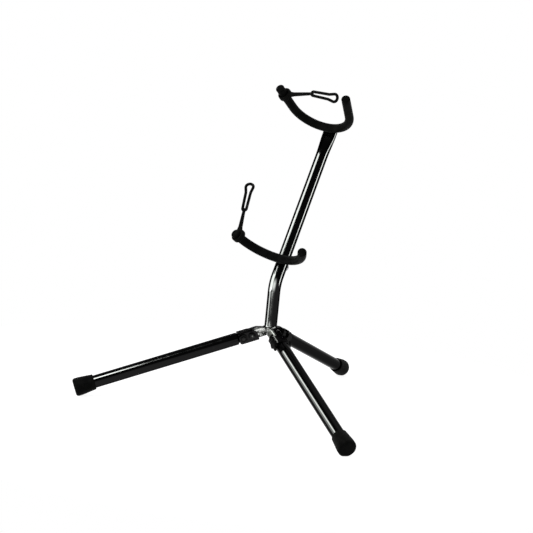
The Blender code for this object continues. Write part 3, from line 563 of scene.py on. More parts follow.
def moulded_rubber():
    """Moulded rubber of the feet and straps: matte, finely pitted, a little greyed where it is handled."""
    paint = Paint("moulded_rubber", ior=1.09)
    bloom = paint.mottle(scale=130.0, detail=6.0, roughness=0.65, low=0.45, high=0.80)
    paint.colour(paint.mix(bloom, under=(0.0034, 0.0035, 0.0033), over=(0.0085, 0.0085, 0.0080)))
    paint.roughness(paint.mottle(scale=420.0, detail=4.0, low=0.3, high=0.7, to_low=0.46, to_high=0.68))
    pits = paint.spread(paint.cells(scale=700.0), low=0.0, high=0.35, to_low=-0.3, to_high=0.0)
    pitted = paint.math("ADD", paint.noise(scale=1300.0, detail=4.0), pits)
    paint.bump(pitted, strength=0.25, depth=0.12 * MM)
    return paint.material


def soft_sleeve():
    """Soft plastic sleeve: black, slightly waxy, with a fine grain and small dents."""
    paint = Paint("soft_sleeve", ior=1.07)
    bloom = paint.mottle(scale=90.0, detail=5.0, roughness=0.6, low=0.45, high=0.80)
    paint.colour(paint.mix(bloom, under=(0.0032, 0.0033, 0.0031), over=(0.0080, 0.0080, 0.0077)))
    paint.roughness(paint.mottle(scale=260.0, detail=4.0, low=0.3, high=0.7, to_low=0.36, to_high=0.56))
    dents = paint.scaled(paint.noise(scale=120.0, detail=2.0), factor=1.5)
    grain = paint.math("ADD", paint.noise(scale=900.0, detail=4.0), dents)
    paint.bump(grain, strength=0.22, depth=0.15 * MM)
    return paint.material


UPRIGHT_ENAMEL = gloss_black_paint("gloss_black_upright", edge_tint=0.30)
LEG_ENAMEL = gloss_black_paint("gloss_black_legs", edge_tint=0.48)
SHEET = black_sheet_paint()
# The hub's sheet has a painted reflection: bright plate on its front faces, black on faces turned away
PLATE_PAINTED_REFLECTION = plate_with_painted_reflection()
ZINC = zinc_metal()
BLACK_STEEL = black_steel()
RUBBER = moulded_rubber()
SLEEVE = soft_sleeve()


def dress(obj, material, body, node):
    """Gives a piece its material, its body and the solid that it stands for."""
    obj.data.materials.clear()
    obj.data.materials.append(material)
    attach(obj, body)
    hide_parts(node)


def keep_node(node, material):
    """Keeps a solid as it is, with a new material and softened edges."""
    obj = frame["nodes"][node]
    for slot in obj.material_slots:
        slot.material = material
    soften = obj.modifiers.new("softened_edges", "BEVEL")
    soften.width = BEVEL_WIDTH
    soften.segments = BEVEL_SEGMENTS
    soften.limit_method = "ANGLE"
    soften.angle_limit = BEVEL_ANGLE
    soften.harden_normals = True


# Fasteners, each turned round its own axis


def hex_radius(flats, angle):
    return flats / 2 / math.cos((angle + math.pi / 6) % (math.pi / 3) - math.pi / 6)


def hex_crown(flats, end, inward):
    """Rows of a chamfered hexagon's end, from its flat disc out to its sides. Inward is +1 or -1 along X."""
    disc = HEX_DISC_SHARE * flats / 2
    slope = math.tan(HEX_CHAMFER)

    def rim(angle):
        radius = hex_radius(flats, angle)
        return end + inward * (radius - disc) * slope, radius

    def before_rim(angle):
        middle = (disc + hex_radius(flats, angle)) / 2
        return end + inward * (middle - disc) * slope, middle

    return [(end, disc), before_rim, rim]


def thread(start, end, radius):
    """Rows of a screw thread along X, with a tapered end."""
    count = math.ceil((end - start) / (THREAD_PITCH / THREAD_STEPS))
    rows = []
    for i in range(count + 1):
        along = start + (end - start) * i / count
        taper = min(1.0, (end - along) / THREAD_PITCH)

        def row(angle, along=along, taper=taper):
            phase = (along / THREAD_PITCH - angle / math.tau) % 1.0
            groove = abs(2.0 * phase - 1.0) * THREAD_DEPTH
            return along, radius - groove - (1.0 - taper) * THREAD_DEPTH

        rows.append(row)
    return rows


def bolt_profile(flats, head, radius, seat, thread_start, end):
    """A hexagon bolt along X, from the top of its head below the seat to the end of its thread."""
    top = seat - head

    def under_head(angle):
        return seat, hex_radius(flats, angle)

    return [
        (top, 0.0),
        (top, HEX_CENTRE_SHARE * flats / 2),
        *hex_crown(flats, top, inward=1.0),
        under_head,
        (seat, radius),
        (thread_start, radius),
        *thread(thread_start, end, radius),
        (end, 0.0),
    ]


def nut_profile(flats, start, end, bore):
    return [
        (start + NUT_CHAMFER, bore),
        (start, bore + NUT_CHAMFER),
        *hex_crown(flats, start, inward=1.0),
        *hex_crown(flats, end, inward=-1.0)[::-1],
        (end, bore + NUT_CHAMFER),
        (end - NUT_CHAMFER, bore),
    ]


def washer_profile(start, end, outer, bore):
    return [
        (start, bore + WASHER_EDGE),
        (start, outer - WASHER_EDGE),
        *round_edge(-1, start, outer, WASHER_EDGE),
        *round_edge(1, end, outer, WASHER_EDGE),
        (end, bore + WASHER_EDGE),
        (end - WASHER_EDGE, bore),
        (start + WASHER_EDGE, bore),
    ]


def rivet_profile():
    seat = BRACKET_OUTSIDE + FIT_GAP
    half = [(seat, RIVET_RADIUS), (seat, RIVET_HEAD_RADIUS * RIVET_RIM_SHARE)]
    for wide, rise in arc((0.0, 0.0), 1.0, *RIVET_DOME):
        half.append((seat + RIVET_HEAD_HEIGHT * rise, RIVET_HEAD_RADIUS * wide))
    half.append((seat + RIVET_HEAD_HEIGHT, 0.0))
    return [(-along, radius) for along, radius in reversed(half)] + half


# Legs


def leg_tube_profile():
    start = PIVOT_REACH + HUB_DROP + 2 * FIT_GAP
    end = LEG_REACH - CAP_FLOOR - FIT_GAP
    neck_end = BRACKET_OUTER_END + FIT_GAP
    wider = TUBE_RADIUS - NECK_RADIUS
    outside = [(neck_end + NECK_TAPER * t, NECK_RADIUS + wider * smooth(t)) for t in shares(TAPER_STEPS)]
    inside = [(along, radius - TUBE_WALL) for along, radius in reversed(outside)]
    return [
        *round_edge(-1, start, NECK_RADIUS, EDGE),
        *outside,
        *between((neck_end + NECK_TAPER, TUBE_RADIUS), (end - EDGE, TUBE_RADIUS), LEG_STEPS)[1:],
        *round_edge(1, end, TUBE_RADIUS, EDGE),
        (end, TUBE_BORE),
        *inside,
        (start, NECK_RADIUS - TUBE_WALL),
    ]


def cap_profile():
    """A foot cap: a rolled lip, a cone, straight sides and a softly rounded end."""
    mouth = LEG_REACH - CAP_LENGTH
    bottom = LEG_REACH - CAP_FLOOR
    bore = TUBE_RADIUS + FIT_GAP
    lip = CAP_MOUTH_CHAMFER
    corner = (LEG_REACH - CAP_END_ROUND, CAP_END_RADIUS - CAP_END_ROUND)
    flare_length = CAP_FLARE_LENGTH - lip
    wider = CAP_END_RADIUS - CAP_MOUTH_RADIUS
    return [
        (bottom, 0.0),
        (bottom, bore),
        (mouth + lip / 2, bore),
        *arc((mouth + lip / 2, bore + lip / 2), lip / 2, -QUARTER, -math.pi, EDGE_STEP),
        *arc((mouth + lip, CAP_MOUTH_RADIUS - lip), lip, math.pi, QUARTER, LIP_STEP),
        *[(mouth + lip + flare_length * t, CAP_MOUTH_RADIUS + wider * t) for t in shares(CAP_STEPS)[1:]],
        *arc(corner, CAP_END_ROUND, QUARTER, 0.0),
        (LEG_REACH, CAP_END_RADIUS * CAP_CENTRE_SHARE),
        (LEG_REACH, 0.0),
    ]


def build_cap(name, place):
    """A foot cap, cut flat where it stands on the floor."""
    shape = bmesh.new()
    add_rows(shape, turned_rows(place, cap_profile()))
    bmesh.ops.remove_doubles(shape, verts=shape.verts, dist=MERGE)
    cut = bmesh.ops.bisect_plane(
        shape,
        geom=[*shape.verts, *shape.edges, *shape.faces],
        dist=CUT_MERGE,
        plane_co=(0.0, 0.0, 0.0),
        plane_no=(0.0, 0.0, -1.0),
        clear_outer=True,
    )
    rim = [item for item in cut["geom_cut"] if isinstance(item, bmesh.types.BMEdge)]
    bmesh.ops.contextual_create(shape, geom=rim)
    return finish_mesh(f"{name}_foot", shape)


def build_leg(name):
    place = APEX @ LEG_FRAMES[name]
    body = f"{name}_leg"
    tube = turned(f"{name}_tube", place, leg_tube_profile(), loop=True)
    dress(tube, LEG_ENAMEL, body, f"{name}_leg_tube")
    dress(build_cap(name, place), RUBBER, body, f"{name}_foot_cap")

    seat = BRACKET_OUTSIDE + FIT_GAP
    bolt_axis = place @ Matrix.Translation((LEG_BOLT_REACH, 0.0, 0.0)) @ ALONG_Y
    nut_end = seat + LEG_NUT_HEIGHT
    bolt_end = nut_end + BOLT_END_SHOW
    bolt = bolt_profile(LEG_BOLT_FLATS, LEG_BOLT_HEAD, LEG_BOLT_RADIUS, -seat, seat, bolt_end)
    dress(turned(f"{name}_bolt", bolt_axis, bolt), BLACK_STEEL, body, f"{name}_leg_bolt")
    nut = nut_profile(LEG_BOLT_FLATS, seat, nut_end, LEG_BOLT_RADIUS + HOLE_GAP)
    nut = turned(f"{name}_nut", bolt_axis, nut, loop=True)
    dress(nut, BLACK_STEEL, body, f"{name}_leg_nut")

    rivet_axis = place @ Matrix.Translation((PIVOT_REACH, 0.0, 0.0)) @ ALONG_Y
    rivet = turned(f"{name}_rivet", rivet_axis, rivet_profile(), sides=RIVET_SIDES)
    dress(rivet, BLACK_STEEL, "stand_frame", f"{name}_pivot_rivet")
    keep_node(f"{name}_leg_bracket", SHEET)


# Hub and upright


def build_hub():
    keep_node("hub_bracket", PLATE_PAINTED_REFLECTION)
    keep_node("upright_plug", ZINC)
    axis = APEX @ UPWARD
    washer_top = HUB_TOP_RISE - HUB_SHEET - FIT_GAP
    washer_foot = washer_top - HUB_WASHER_THICKNESS
    washer = washer_profile(washer_foot, washer_top, HUB_WASHER_RADIUS, HUB_BOLT_RADIUS + HOLE_GAP)
    dress(turned("hub_plain_washer", axis, washer, loop=True), ZINC, "stand_frame", "hub_washer")
    seat = washer_foot - FIT_GAP
    end = HUB_TOP_RISE + FIT_GAP + PLUG_LENGTH
    bolt = bolt_profile(HUB_BOLT_FLATS, HUB_BOLT_HEAD, HUB_BOLT_RADIUS, seat, end - 2 * THREAD_PITCH, end)
    dress(turned("hub_hex_bolt", axis, bolt), ZINC, "stand_frame", "hub_bolt")


def tube_ring(place, half_width, half_thickness):
    """A ring of points in a frame's XY: a circle, or a flattened oval with straight sides."""
    ring = []
    for i in range(SIDES):
        turn = math.tau * i / SIDES
        spread = max(-1.0, min(1.0, OVAL_SPREAD * math.cos(turn)))
        across = (half_width - half_thickness) * spread + half_thickness * math.cos(turn)
        ring.append(place @ Vector((across, half_thickness * math.sin(turn), 0.0)))
    return ring


def upright_frames():
    """Frames up the upright from its foot to the end of its bend."""
    bend_start = UPRIGHT_BEND_HEIGHT - UPRIGHT_BEND_RADIUS * math.tan(UPRIGHT_LEAN / 2)
    rises = between((HUB_TOP_RISE + FIT_GAP,), (bend_start,), FOOT_STEPS)
    frames = [APEX @ Matrix.Translation((0.0, 0.0, rise)) for (rise,) in rises]
    for share in shares(math.ceil(UPRIGHT_LEAN / BEND_STEP)):
        lean = UPRIGHT_LEAN * share
        back = UPRIGHT_BEND_RADIUS * (1.0 - math.cos(lean))
        up = bend_start + UPRIGHT_BEND_RADIUS * math.sin(lean)
        frames.append(APEX @ Matrix.Translation((0.0, back, up)) @ Matrix.Rotation(-lean, 4, "X"))
    return frames


def build_upright():
    frames = upright_frames()
    foot = frames[0]
    flat_begin = UPPER_RUN - FLAT_BELOW_STUD - FLAT_TRANSITION
    bend_end = UPRIGHT_BEND_RADIUS * math.tan(UPRIGHT_LEAN / 2)
    straight = [up_lean(run) for (run,) in between((bend_end,), (flat_begin,), LEAN_STEPS)[1:]]
    rows = [tube_ring(place, TUBE_BORE, TUBE_BORE) for place in [up_lean(flat_begin), *reversed(frames)]]
    rows.append(tube_ring(foot, TUBE_RADIUS, TUBE_RADIUS))
    hollow = (FOOT_FLARE + EDGE, TUBE_RADIUS + FOOT_FLARE)
    flare = arc(hollow, FOOT_FLARE, math.pi, math.pi + QUARTER, FLARE_STEP)
    for up, radius in [(0.0, TUBE_RADIUS + FOOT_FLARE - EDGE), *flare]:
        rows.append(tube_ring(foot @ Matrix.Translation((0.0, 0.0, up)), radius, radius))
    rows += [tube_ring(place, TUBE_RADIUS, TUBE_RADIUS) for place in [*frames[1:], *straight]]
    for share in shares(FLAT_STEPS):
        ease = smooth(share)
        half_width = TUBE_RADIUS + (FLAT_HALF_WIDTH - TUBE_RADIUS) * ease
        half_thickness = TUBE_RADIUS + (FLAT_HALF_THICKNESS - TUBE_RADIUS) * ease
        rows.append(tube_ring(up_lean(flat_begin + FLAT_TRANSITION * share), half_width, half_thickness))
    top = UPPER_RUN + FLAT_ABOVE_STUD
    corner = (FLAT_HALF_WIDTH - FLAT_CORNER_ROUND, top - FLAT_CORNER_ROUND)
    for half_width, run in arc(corner, FLAT_CORNER_ROUND, 0.0, QUARTER):
        thinner = TOP_THINNING * max(0.0, run - top + TOP_ROUND)
        rows.append(tube_ring(up_lean(run), half_width, FLAT_HALF_THICKNESS - thinner))
    dress(rows_object("bent_upright", rows), UPRIGHT_ENAMEL, "stand_frame", "upright_tube")


# Yokes and straps


def sweep_rows(points, radii, sides, normal, cyclic=False):
    """Rows of circles along points. Normal is a vector that no stretch of the path runs along."""
    rows = []
    last = len(points) - 1
    turns = [math.tau * k / sides for k in range(sides)]
    for i, (point, radius) in enumerate(zip(points, radii)):
        ahead = points[(i + 1) % len(points)] if cyclic else points[min(i + 1, last)]
        behind = points[i - 1] if cyclic or i else points[0]
        along = (ahead - behind).normalized()
        side = along.cross(normal).normalized()
        up = side.cross(along)
        rows.append([point + radius * (math.cos(t) * side + math.sin(t) * up) for t in turns])
    return rows


def yoke_points(place, radius, sweep, arm):
    """A yoke's centre line from its left end to its right end."""
    turns = arc((0.0, -radius), radius, QUARTER + sweep, QUARTER - sweep, BEND_STEP)
    run = (arm * math.cos(sweep), arm * math.sin(sweep))
    left = (turns[0][0] - run[0], turns[0][1] - run[1])
    right = (turns[-1][0] + run[0], turns[-1][1] - run[1])
    left_arm = between(left, turns[0], ARM_STEPS)
    right_arm = between(right, turns[-1], ARM_STEPS)[::-1]
    return [place @ Vector((x, y, 0.0)) for x, y in [*left_arm, *turns, *right_arm]]


def arm_end(radius, sweep, arm, side):
    """A frame at the end of a yoke arm, with X out along the arm and Z square to the yoke."""
    turn = QUARTER - side * (QUARTER - sweep)
    along = Vector((side * math.cos(sweep), -math.sin(sweep), 0.0))
    end = Vector((side * radius * math.sin(sweep), -radius * (1.0 - math.cos(sweep)), 0.0)) + along * arm
    return Matrix.Translation(end) @ Matrix.Rotation(-turn, 4, "Z")


def yoke_place(yoke):
    seat = Matrix.Translation((0.0, -yoke["carrier"] - FIT_GAP - SLEEVE_RADIUS, 0.0))
    on_stud = up_lean(yoke["run"]) @ seat @ Matrix.Rotation(yoke["turn"], 4, "Y")
    return on_stud @ Matrix.Rotation(UPRIGHT_LEAN - yoke["tilt"], 4, "X")


def tip_profile():
    """A tip plug along X: a spigot in the sleeve, a shoulder and a rounded, slightly crowned end."""
    spigot = SLEEVE_BORE - FIT_GAP
    corner = (FIT_GAP + TIP_DOME - TIP_ROUND, SLEEVE_RADIUS - TIP_ROUND)
    return [
        (-TIP_SPIGOT, 0.0),
        (-TIP_SPIGOT, spigot - EDGE),
        (EDGE - TIP_SPIGOT, spigot),
        (FIT_GAP, spigot),
        (FIT_GAP, SLEEVE_RADIUS - EDGE),
        (FIT_GAP + EDGE, SLEEVE_RADIUS),
        *arc(corner, TIP_ROUND, QUARTER, TIP_CROWN),
        (FIT_GAP + TIP_DOME, SLEEVE_RADIUS * TIP_CENTRE_SHARE),
        (FIT_GAP + TIP_DOME, 0.0),
    ]


def build_yoke(name):
    yoke = YOKES[name]
    place = yoke_place(yoke)
    bend = (yoke["radius"], yoke["sweep"])
    normal = place.to_3x3().col[2]
    sleeve_arm = yoke["arm"] - TIP_DOME - FIT_GAP
    outer = yoke_points(place, *bend, sleeve_arm)
    radii = [SLEEVE_RADIUS] * len(outer)
    radii[0] = radii[-1] = SLEEVE_RADIUS - EDGE
    rows = sweep_rows(outer, radii, SLEEVE_SIDES, normal)
    rows += sweep_rows(outer, [SLEEVE_BORE] * len(outer), SLEEVE_SIDES, normal)[::-1]
    sleeve = rows_object(f"{name}_sleeve", rows, loop=True)
    dress(sleeve, SLEEVE, "stand_frame", f"{name}_yoke_sleeve")

    rod_path = yoke_points(place, *bend, sleeve_arm - TIP_SPIGOT - FIT_GAP)
    rod = rows_object(f"{name}_rod", sweep_rows(rod_path, [ROD_RADIUS] * len(rod_path), ROD_SIDES, normal))
    dress(rod, ZINC, "stand_frame", f"{name}_yoke_rod")

    for side, label in ((-1, "left"), (1, "right")):
        end = place @ arm_end(*bend, sleeve_arm, side)
        tip = turned(f"{name}_tip_{label}", end, tip_profile(), sides=SLEEVE_SIDES)
        dress(tip, SLEEVE, "stand_frame", f"{name}_yoke_tip_{label}")

    stud_axis = up_lean(yoke["run"]) @ ALONG_Y
    washer_start = yoke["carrier"] + FIT_GAP
    washer_end = washer_start + YOKE_WASHER_THICKNESS
    washer = washer_profile(washer_start, washer_end, YOKE_WASHER_RADIUS, STUD_RADIUS + HOLE_GAP)
    washer = turned(f"{name}_plain_washer", stud_axis, washer, loop=True)
    dress(washer, ZINC, "stand_frame", f"{name}_yoke_washer")
    nut_start = washer_end + FIT_GAP
    nut_end = nut_start + YOKE_NUT_HEIGHT
    nut = nut_profile(YOKE_NUT_FLATS, nut_start, nut_end, STUD_RADIUS + HOLE_GAP)
    nut = turned(f"{name}_hex_nut", stud_axis, nut, loop=True)
    dress(nut, ZINC, "stand_frame", f"{name}_yoke_nut")
    stud_start = -yoke["carrier"] - FIT_GAP - SLEEVE_RADIUS
    stud = [(stud_start, 0.0), (stud_start, STUD_RADIUS), (nut_start, STUD_RADIUS)]
    stud_end = nut_end + STUD_END_SHOW
    stud += [*thread(nut_start, stud_end, STUD_RADIUS), (stud_end, 0.0)]
    dress(turned(f"{name}_stud", stud_axis, stud), ZINC, "stand_frame", f"{name}_yoke_rod")


def ring_rows():
    """A strap's ring round local Y. Its outside is set off towards the stem, where it is thicker."""
    half = STRAP_RING_WIDTH / 2
    edge = STRAP_RING_ROUND

    def outside(along, less):
        def row(angle):
            across = STRAP_RING_OFFSET * math.sin(angle)
            radius = STRAP_RING_OFFSET * math.cos(angle) + math.sqrt(STRAP_RING_RADIUS**2 - across**2)
            return along, radius - less

        return row

    rounded = [(half - edge + edge * math.sin(a), edge - edge * math.cos(a)) for a in RING_TURNS]
    bore = STRAP_BORE + RING_BORE_ROOM
    return [
        *[outside(-along, less) for along, less in reversed(rounded)],
        *[outside(along, less) for along, less in rounded],
        (half, bore + RING_BORE_EDGE),
        (half - RING_BORE_EDGE, bore),
        (RING_BORE_EDGE - half, bore),
        (-half, bore + RING_BORE_EDGE),
    ]


def eye_points(place, droop):
    """The closed loop of a strap's eye from its fork: straight sides to a waist, then a round end."""
    middle = STRAP_EYE_LENGTH - STRAP_EYE_ROUND - STRAP_WIRE
    waist = (middle - STRAP_EYE_NECK, STRAP_EYE_WAIST)
    to_waist = math.hypot(STRAP_EYE_NECK, STRAP_EYE_WAIST)
    touch = math.atan2(STRAP_EYE_WAIST, -STRAP_EYE_NECK) - math.acos(STRAP_EYE_ROUND / to_waist)
    end = arc((middle, 0.0), STRAP_EYE_ROUND, -touch, touch)
    fork = arc((0.0, 0.0), STRAP_FORK_ROUND, QUARTER, math.pi + QUARTER)
    low_waist = (waist[0], -waist[1])
    loop = [
        *between(low_waist, end[0], EYE_END_STEPS),
        *end[:-1],
        *between(end[-1], waist, EYE_END_STEPS),
        *between(waist, fork[0], EYE_SIDE_STEPS),
        *fork[:-1],
        *between(fork[-1], low_waist, EYE_SIDE_STEPS),
    ]
    at_fork = Matrix.Translation((STRAP_STEM, 0.0, 0.0)) @ Matrix.Rotation(-droop, 4, "Y")
    turn = place @ at_fork @ Matrix.Rotation(STRAP_EYE_TWIST, 4, "X")
    return [turn @ Vector((along, 0.0, side)) for along, side in loop], turn.to_3x3().col[1]


def stem_profile():
    """A strap's stem as (along, radius): from inside the ring, through a short neck, to the fork."""
    ring_end = STRAP_RING_RADIUS + STRAP_RING_OFFSET
    start = (STRAP_BORE + ring_end) / 2
    neck_end = ring_end + STRAP_NECK_LENGTH
    stem = []
    for share in shares(STEM_STEPS):
        along = start + share * (STRAP_STEM - start)
        neck = min(1.0, max(0.0, (along - ring_end) / STRAP_NECK_LENGTH))
        run = max(0.0, (along - neck_end) / (STRAP_STEM - neck_end))
        radius = STRAP_STEM_ROOT + (STRAP_STEM_NECK - STRAP_STEM_ROOT) * smooth(neck)
        stem.append((along, radius + (STRAP_WIRE - STRAP_STEM_NECK) * run))
    return stem


def build_strap(name):
    """A moulded strap: ring, stem and eye melted into one skin with soft fillets."""
    yoke = YOKES[name]
    arm = yoke_place(yoke) @ arm_end(yoke["radius"], yoke["sweep"], yoke["arm"], -1)
    lift = Matrix.Rotation(yoke["strap_lift"], 4, "X")
    on_arm = Matrix.Translation((-yoke["strap_from_tip"], 0.0, 0.0)) @ lift
    half_turn = Matrix.Rotation(math.pi, 4, "X")
    place = arm @ on_arm @ ALONG_Y @ half_turn

    shape = bmesh.new()
    add_rows(shape, turned_rows(place @ ALONG_Y @ half_turn, ring_rows()), loop=True)
    stem = stem_profile()
    stem_points = [place @ Vector((along, 0.0, 0.0)) for along, _ in stem]
    stem_radii = [radius for _, radius in stem]
    add_rows(shape, sweep_rows(stem_points, stem_radii, STEM_SIDES, place.to_3x3().col[2]))
    eye, eye_normal = eye_points(place, yoke["strap_droop"])
    wire = sweep_rows(eye, [STRAP_WIRE] * len(eye), WIRE_SIDES, eye_normal, cyclic=True)
    add_rows(shape, wire, loop=True)
    raw = finish_mesh(f"{name}_strap_raw", shape)

    melt = raw.modifiers.new("melt", "REMESH")
    melt.mode = "VOXEL"
    melt.voxel_size = MELT_VOXEL
    soften = raw.modifiers.new("soften", "SMOOTH")
    soften.factor = MELT_SMOOTHING
    soften.iterations = MELT_PASSES
    graph = bpy.context.evaluated_depsgraph_get()
    mesh = bpy.data.meshes.new_from_object(raw.evaluated_get(graph))
    bpy.data.objects.remove(raw, do_unlink=True)
    mesh.name = f"{name}_moulded_strap"
    mesh.shade_smooth()
    strap = bpy.data.objects.new(f"{name}_moulded_strap", mesh)
    bpy.context.scene.collection.objects.link(strap)
    dress(strap, RUBBER, f"{name}_strap_body", f"{name}_strap")


# Camera, floor and light


def place_camera():
    level = Vector((math.cos(CAMERA_AZIMUTH), math.sin(CAMERA_AZIMUTH), 0.0))
    away = Vector((math.sin(CAMERA_AZIMUTH), -math.cos(CAMERA_AZIMUTH), 0.0))
    back = math.cos(CAMERA_ELEVATION) * away + Vector((0.0, 0.0, math.sin(CAMERA_ELEVATION)))
    upright = back.cross(level)
    right = math.cos(CAMERA_ROLL) * level + math.sin(CAMERA_ROLL) * upright
    up = -math.sin(CAMERA_ROLL) * level + math.cos(CAMERA_ROLL) * upright
    place = Matrix((right, up, back)).transposed().to_4x4()
    place.translation = APEX_POINT + CAMERA_RIGHT * right + CAMERA_UP * up + CAMERA_BACK * back
    data = bpy.data.cameras.new("photo_camera")
    data.sensor_width = CAMERA_SENSOR
    data.lens = CAMERA_FOCAL * CAMERA_SENSOR
    camera = bpy.data.objects.new("photo_camera", data)
    camera.matrix_world = place
    bpy.context.scene.collection.objects.link(camera)
    bpy.context.scene.camera = camera
    return place.translation


def build_floor():
    """A plain white floor with a trace of shadow at the feet, which melts into the background at its rim."""
    shape = bmesh.new()
    bmesh.ops.create_circle(shape, cap_ends=True, segments=FLOOR_SIDES, radius=FLOOR_RADIUS)
    floor = finish_mesh("studio_floor", shape)
    floor.location = (APEX_POINT.x, APEX_POINT.y, 0.0)
    material = bpy.data.materials.new("white_floor")
    material.use_nodes = True
    material.node_tree.nodes.clear()
    nodes = Nodes(material.node_tree)
    matte = nodes.node("ShaderNodeBsdfDiffuse")
    matte.inputs["Color"].default_value = (FLOOR_GREY, FLOOR_GREY, FLOOR_GREY, 1.0)
    reach = nodes.node("ShaderNodeVectorMath", operation="LENGTH")
    nodes.link(nodes.node("ShaderNodeTexCoord").outputs["Object"], reach.inputs[0])
    rise = nodes.spread(reach.outputs["Value"], *FLOOR_RIM, to_low=FLOOR_GLOW)

    # The glow is there for rays from the camera, from gloss and through clear pieces, and lights nothing else
    path = nodes.node("ShaderNodeLightPath").outputs
    rays = nodes.math("MAXIMUM", path["Is Camera Ray"], path["Is Glossy Ray"])
    rays = nodes.math("MAXIMUM", rays, path["Is Transmission Ray"])
    glow = nodes.node("ShaderNodeEmission")
    nodes.link(nodes.math("MULTIPLY", rays, rise), glow.inputs["Strength"])
    both = nodes.node("ShaderNodeAddShader")
    for shader, socket in zip((matte, glow), both.inputs):
        nodes.link(shader.outputs[0], socket)
    nodes.link(both.outputs[0], nodes.node("ShaderNodeOutputMaterial").inputs["Surface"])
    floor.data.materials.append(material)


def build_world():
    """White near the horizon and below it. Above, a dim studio with a white wall at the back."""
    world = bpy.data.worlds.new("studio")
    bpy.context.scene.world = world
    world.use_nodes = True
    nodes = Nodes(world.node_tree)
    sky = nodes.tree.nodes["Background"]
    sky.inputs["Color"].default_value = (1.0, 1.0, 1.0, 1.0)
    way = nodes.node("ShaderNodeTexCoord").outputs["Generated"]
    whites = []
    for axis, ramp in STUDIO_RAMPS.items():
        whites.append(nodes.spread(nodes.part(way, axis), *ramp, to_low=STUDIO_DIM))
    nodes.link(nodes.math("MAXIMUM", *whites), sky.inputs["Strength"])


def reflected(normal, point, camera):
    """The way from a point to what it mirrors for the camera."""
    view = (camera - point).normalized()
    return 2.0 * normal.dot(view) * normal - view


def mirrored(axis, point, offset, camera):
    """The way to a lamp that shows on a tube. Offset is from -1 to 1 across the tube's width."""
    view = (camera - point).normalized()
    facing = (view - view.dot(axis) * axis).normalized()
    normal = math.sqrt(1.0 - offset * offset) * facing + offset * axis.cross(facing)
    return reflected(normal, point, camera)


def soften_rim(data, fades):
    """Fades a lamp out towards its rim. Fades are shares of its half width and half length."""
    data.use_nodes = True
    nodes = Nodes(data.node_tree)
    place = nodes.node("ShaderNodeNewGeometry").outputs["Parametric"]
    ramps = []
    for axis, fade in zip("XY", fades):
        from_rim = nodes.math("PINGPONG", nodes.part(place, axis), 0.5)
        ramps.append(nodes.spread(from_rim, 0.0, fade / 2, interpolation_type="SMOOTHSTEP"))
    nodes.link(nodes.math("MULTIPLY", *ramps), nodes.tree.nodes["Emission"].inputs["Strength"])


def soft_box(
    name, pieces, aims, width, radiance, fade=0.2, fade_along=False, overhang=LAMP_OVERHANG, shadow=True
):
    """A lamp that shows as a stripe between two aims, each a point and the way from it to the lamp. Width is
    the lamp's angle in degrees. It shows in the gloss of the pieces alone and lights nothing else."""
    hits = [point + LAMP_DISTANCE * way for point, way in aims]
    target = (aims[0][0] + aims[1][0]) / 2
    centre = (hits[0] + hits[1]) / 2
    out = (centre - target).normalized()
    along = hits[1] - hits[0]
    across = along.cross(out).normalized()
    data = bpy.data.lights.new(name, "AREA")
    data.shape = "RECTANGLE"
    data.size = 2.0 * LAMP_DISTANCE * math.tan(math.radians(width) / 2)
    data.size_y = along.length + 2 * overhang
    data.energy = radiance * math.pi * data.size * data.size_y
    data.color = LAMP_COLOUR
    data.use_shadow = shadow
    end_fade = fade if fade_along else min(1.0, LAMP_END_FADE / (data.size_y / 2))
    soften_rim(data, (fade, end_fade))
    lamp = bpy.data.objects.new(name, data)
    place = Matrix((across, out.cross(across), out)).transposed().to_4x4()
    place.translation = centre
    lamp.matrix_world = place
    lamp.visible_camera = False
    lamp.visible_diffuse = False
    lit = bpy.data.collections.new(f"{name}_pieces")
    for piece in pieces:
        lit.objects.link(bpy.data.objects[piece])
    lamp.light_linking.receiver_collection = lit
    bpy.context.scene.collection.objects.link(lamp)


def key_lamp():
    """A wide soft lamp from the upper left for matte surfaces and the floor."""
    data = bpy.data.lights.new("key", "AREA")
    data.shape = "DISK"
    data.size = KEY_SIZE
    data.energy = KEY_POWER
    lamp = bpy.data.objects.new("key", data)
    turn = KEY_WAY.to_track_quat("Z", "Y").to_matrix().to_4x4()
    lamp.matrix_world = Matrix.Translation(APEX_POINT + KEY_DISTANCE * KEY_WAY) @ turn
    lamp.visible_camera = False
    lamp.visible_glossy = False
    bpy.context.scene.collection.objects.link(lamp)


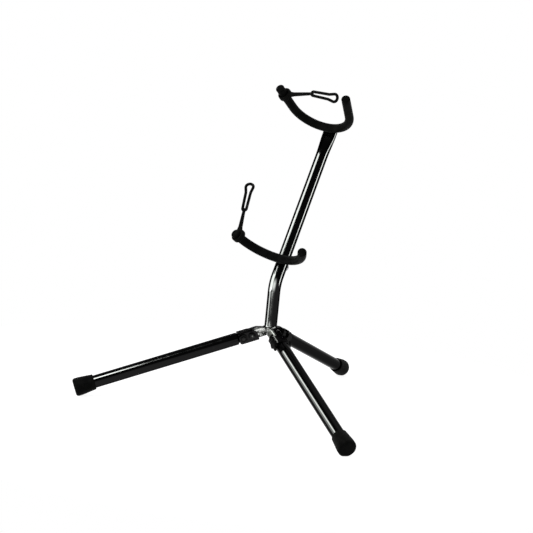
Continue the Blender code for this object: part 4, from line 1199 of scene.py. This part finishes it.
def upright_lamps(camera):
    """The stripes on the upright, between frames of its bend or runs up its leaning part, in millimetres."""
    frames = upright_frames()
    pieces = ["bent_upright"]

    def run(length):
        return up_lean(length * MM)

    def box(name, start, end, offset, **look):
        ends = [(place.to_3x3().col[2], place.translation) for place in (start, end)]
        aims = [(point, mirrored(axis, point, offset, camera)) for axis, point in ends]
        soft_box(name, pieces, aims, **look)

    box("left_box", run(100), run(235), offset=-0.56, width=35.0, radiance=82.0)
    box("right_box", run(110), run(235), offset=0.60, width=13.0, radiance=110.0, fade=0.3)
    box("right_low_box", frames[13], run(15), offset=0.61, width=10.0, radiance=115.0)
    box("bend_box", frames[6], run(15), offset=-0.55, width=52.0, radiance=85.0, fade=0.3, shadow=False)
    glow = {"fade": 0.95, "fade_along": True}
    box("glow_box", frames[4], frames[-5], offset=-0.16, width=78.0, radiance=60.0, **glow)
    patch = {"fade": 1.0, "fade_along": True, "overhang": 0.0}
    box("patch_box", frames[3], frames[5], offset=-0.25, width=48.0, radiance=50.0, **patch)
    box("foot_box", frames[0], frames[8], offset=-0.60, width=25.0, radiance=60.0, fade=0.4)

    foot = APEX_POINT + Vector((0.0, 0.0, HUB_TOP_RISE))
    normals = [Vector((*GLINT_SIDE, rise)).normalized() for rise in GLINT_RISES]
    glints = [(foot, reflected(normal, foot, camera)) for normal in normals]
    soft_box("glint_box", pieces, glints, width=40.0, radiance=80.0)


def leg_lamps(camera):
    """The stripes on the front legs and at the hub. Start and end are reaches along a leg, in millimetres."""

    def box(name, piece, leg, start, end, offset, **look):
        axis = LEG_FRAMES[leg].to_3x3().col[0]
        points = [APEX_POINT + axis * reach * MM for reach in (start, end)]
        aims = [(point, mirrored(axis, point, offset, camera)) for point in points]
        soft_box(name, [piece], aims, **look)

    left = {"leg": "front_left"}
    right = {"leg": "front_right", "shadow": False}
    tube = {"piece": "front_right_tube", "start": 20, "end": 250, **right}
    box("top_box", "front_left_tube", start=210, end=270, offset=0.46, width=20.0, radiance=110.0, **left)
    box("side_box", offset=0.25, width=20.0, radiance=66.0, fade=0.5, **tube)
    box("haze_box", offset=0.46, width=26.0, radiance=15.0, fade=0.6, **tube)
    bracket = {"piece": "front_right_leg_bracket", "start": 16, "end": 45, **right}
    box("bracket_box", offset=0.33, width=100.0, radiance=62.0, **bracket)
    box("hub_box", "hub_bracket", start=0, end=40, offset=0.28, width=90.0, radiance=2.6, **right)
    rivet = {"piece": "front_left_rivet", "start": 16, "end": 36, "shadow": False, **left}
    box("rivet_box", offset=-0.30, width=24.0, radiance=70.0, **rivet)


camera_point = place_camera()
for leg_name in LEG_FRAMES:
    build_leg(leg_name)
build_hub()
build_upright()
for yoke_name in YOKES:
    build_yoke(yoke_name)
    build_strap(yoke_name)
build_floor()
build_world()
key_lamp()
upright_lamps(camera_point)
leg_lamps(camera_point)

bpy.context.scene.view_settings.view_transform = "Standard"
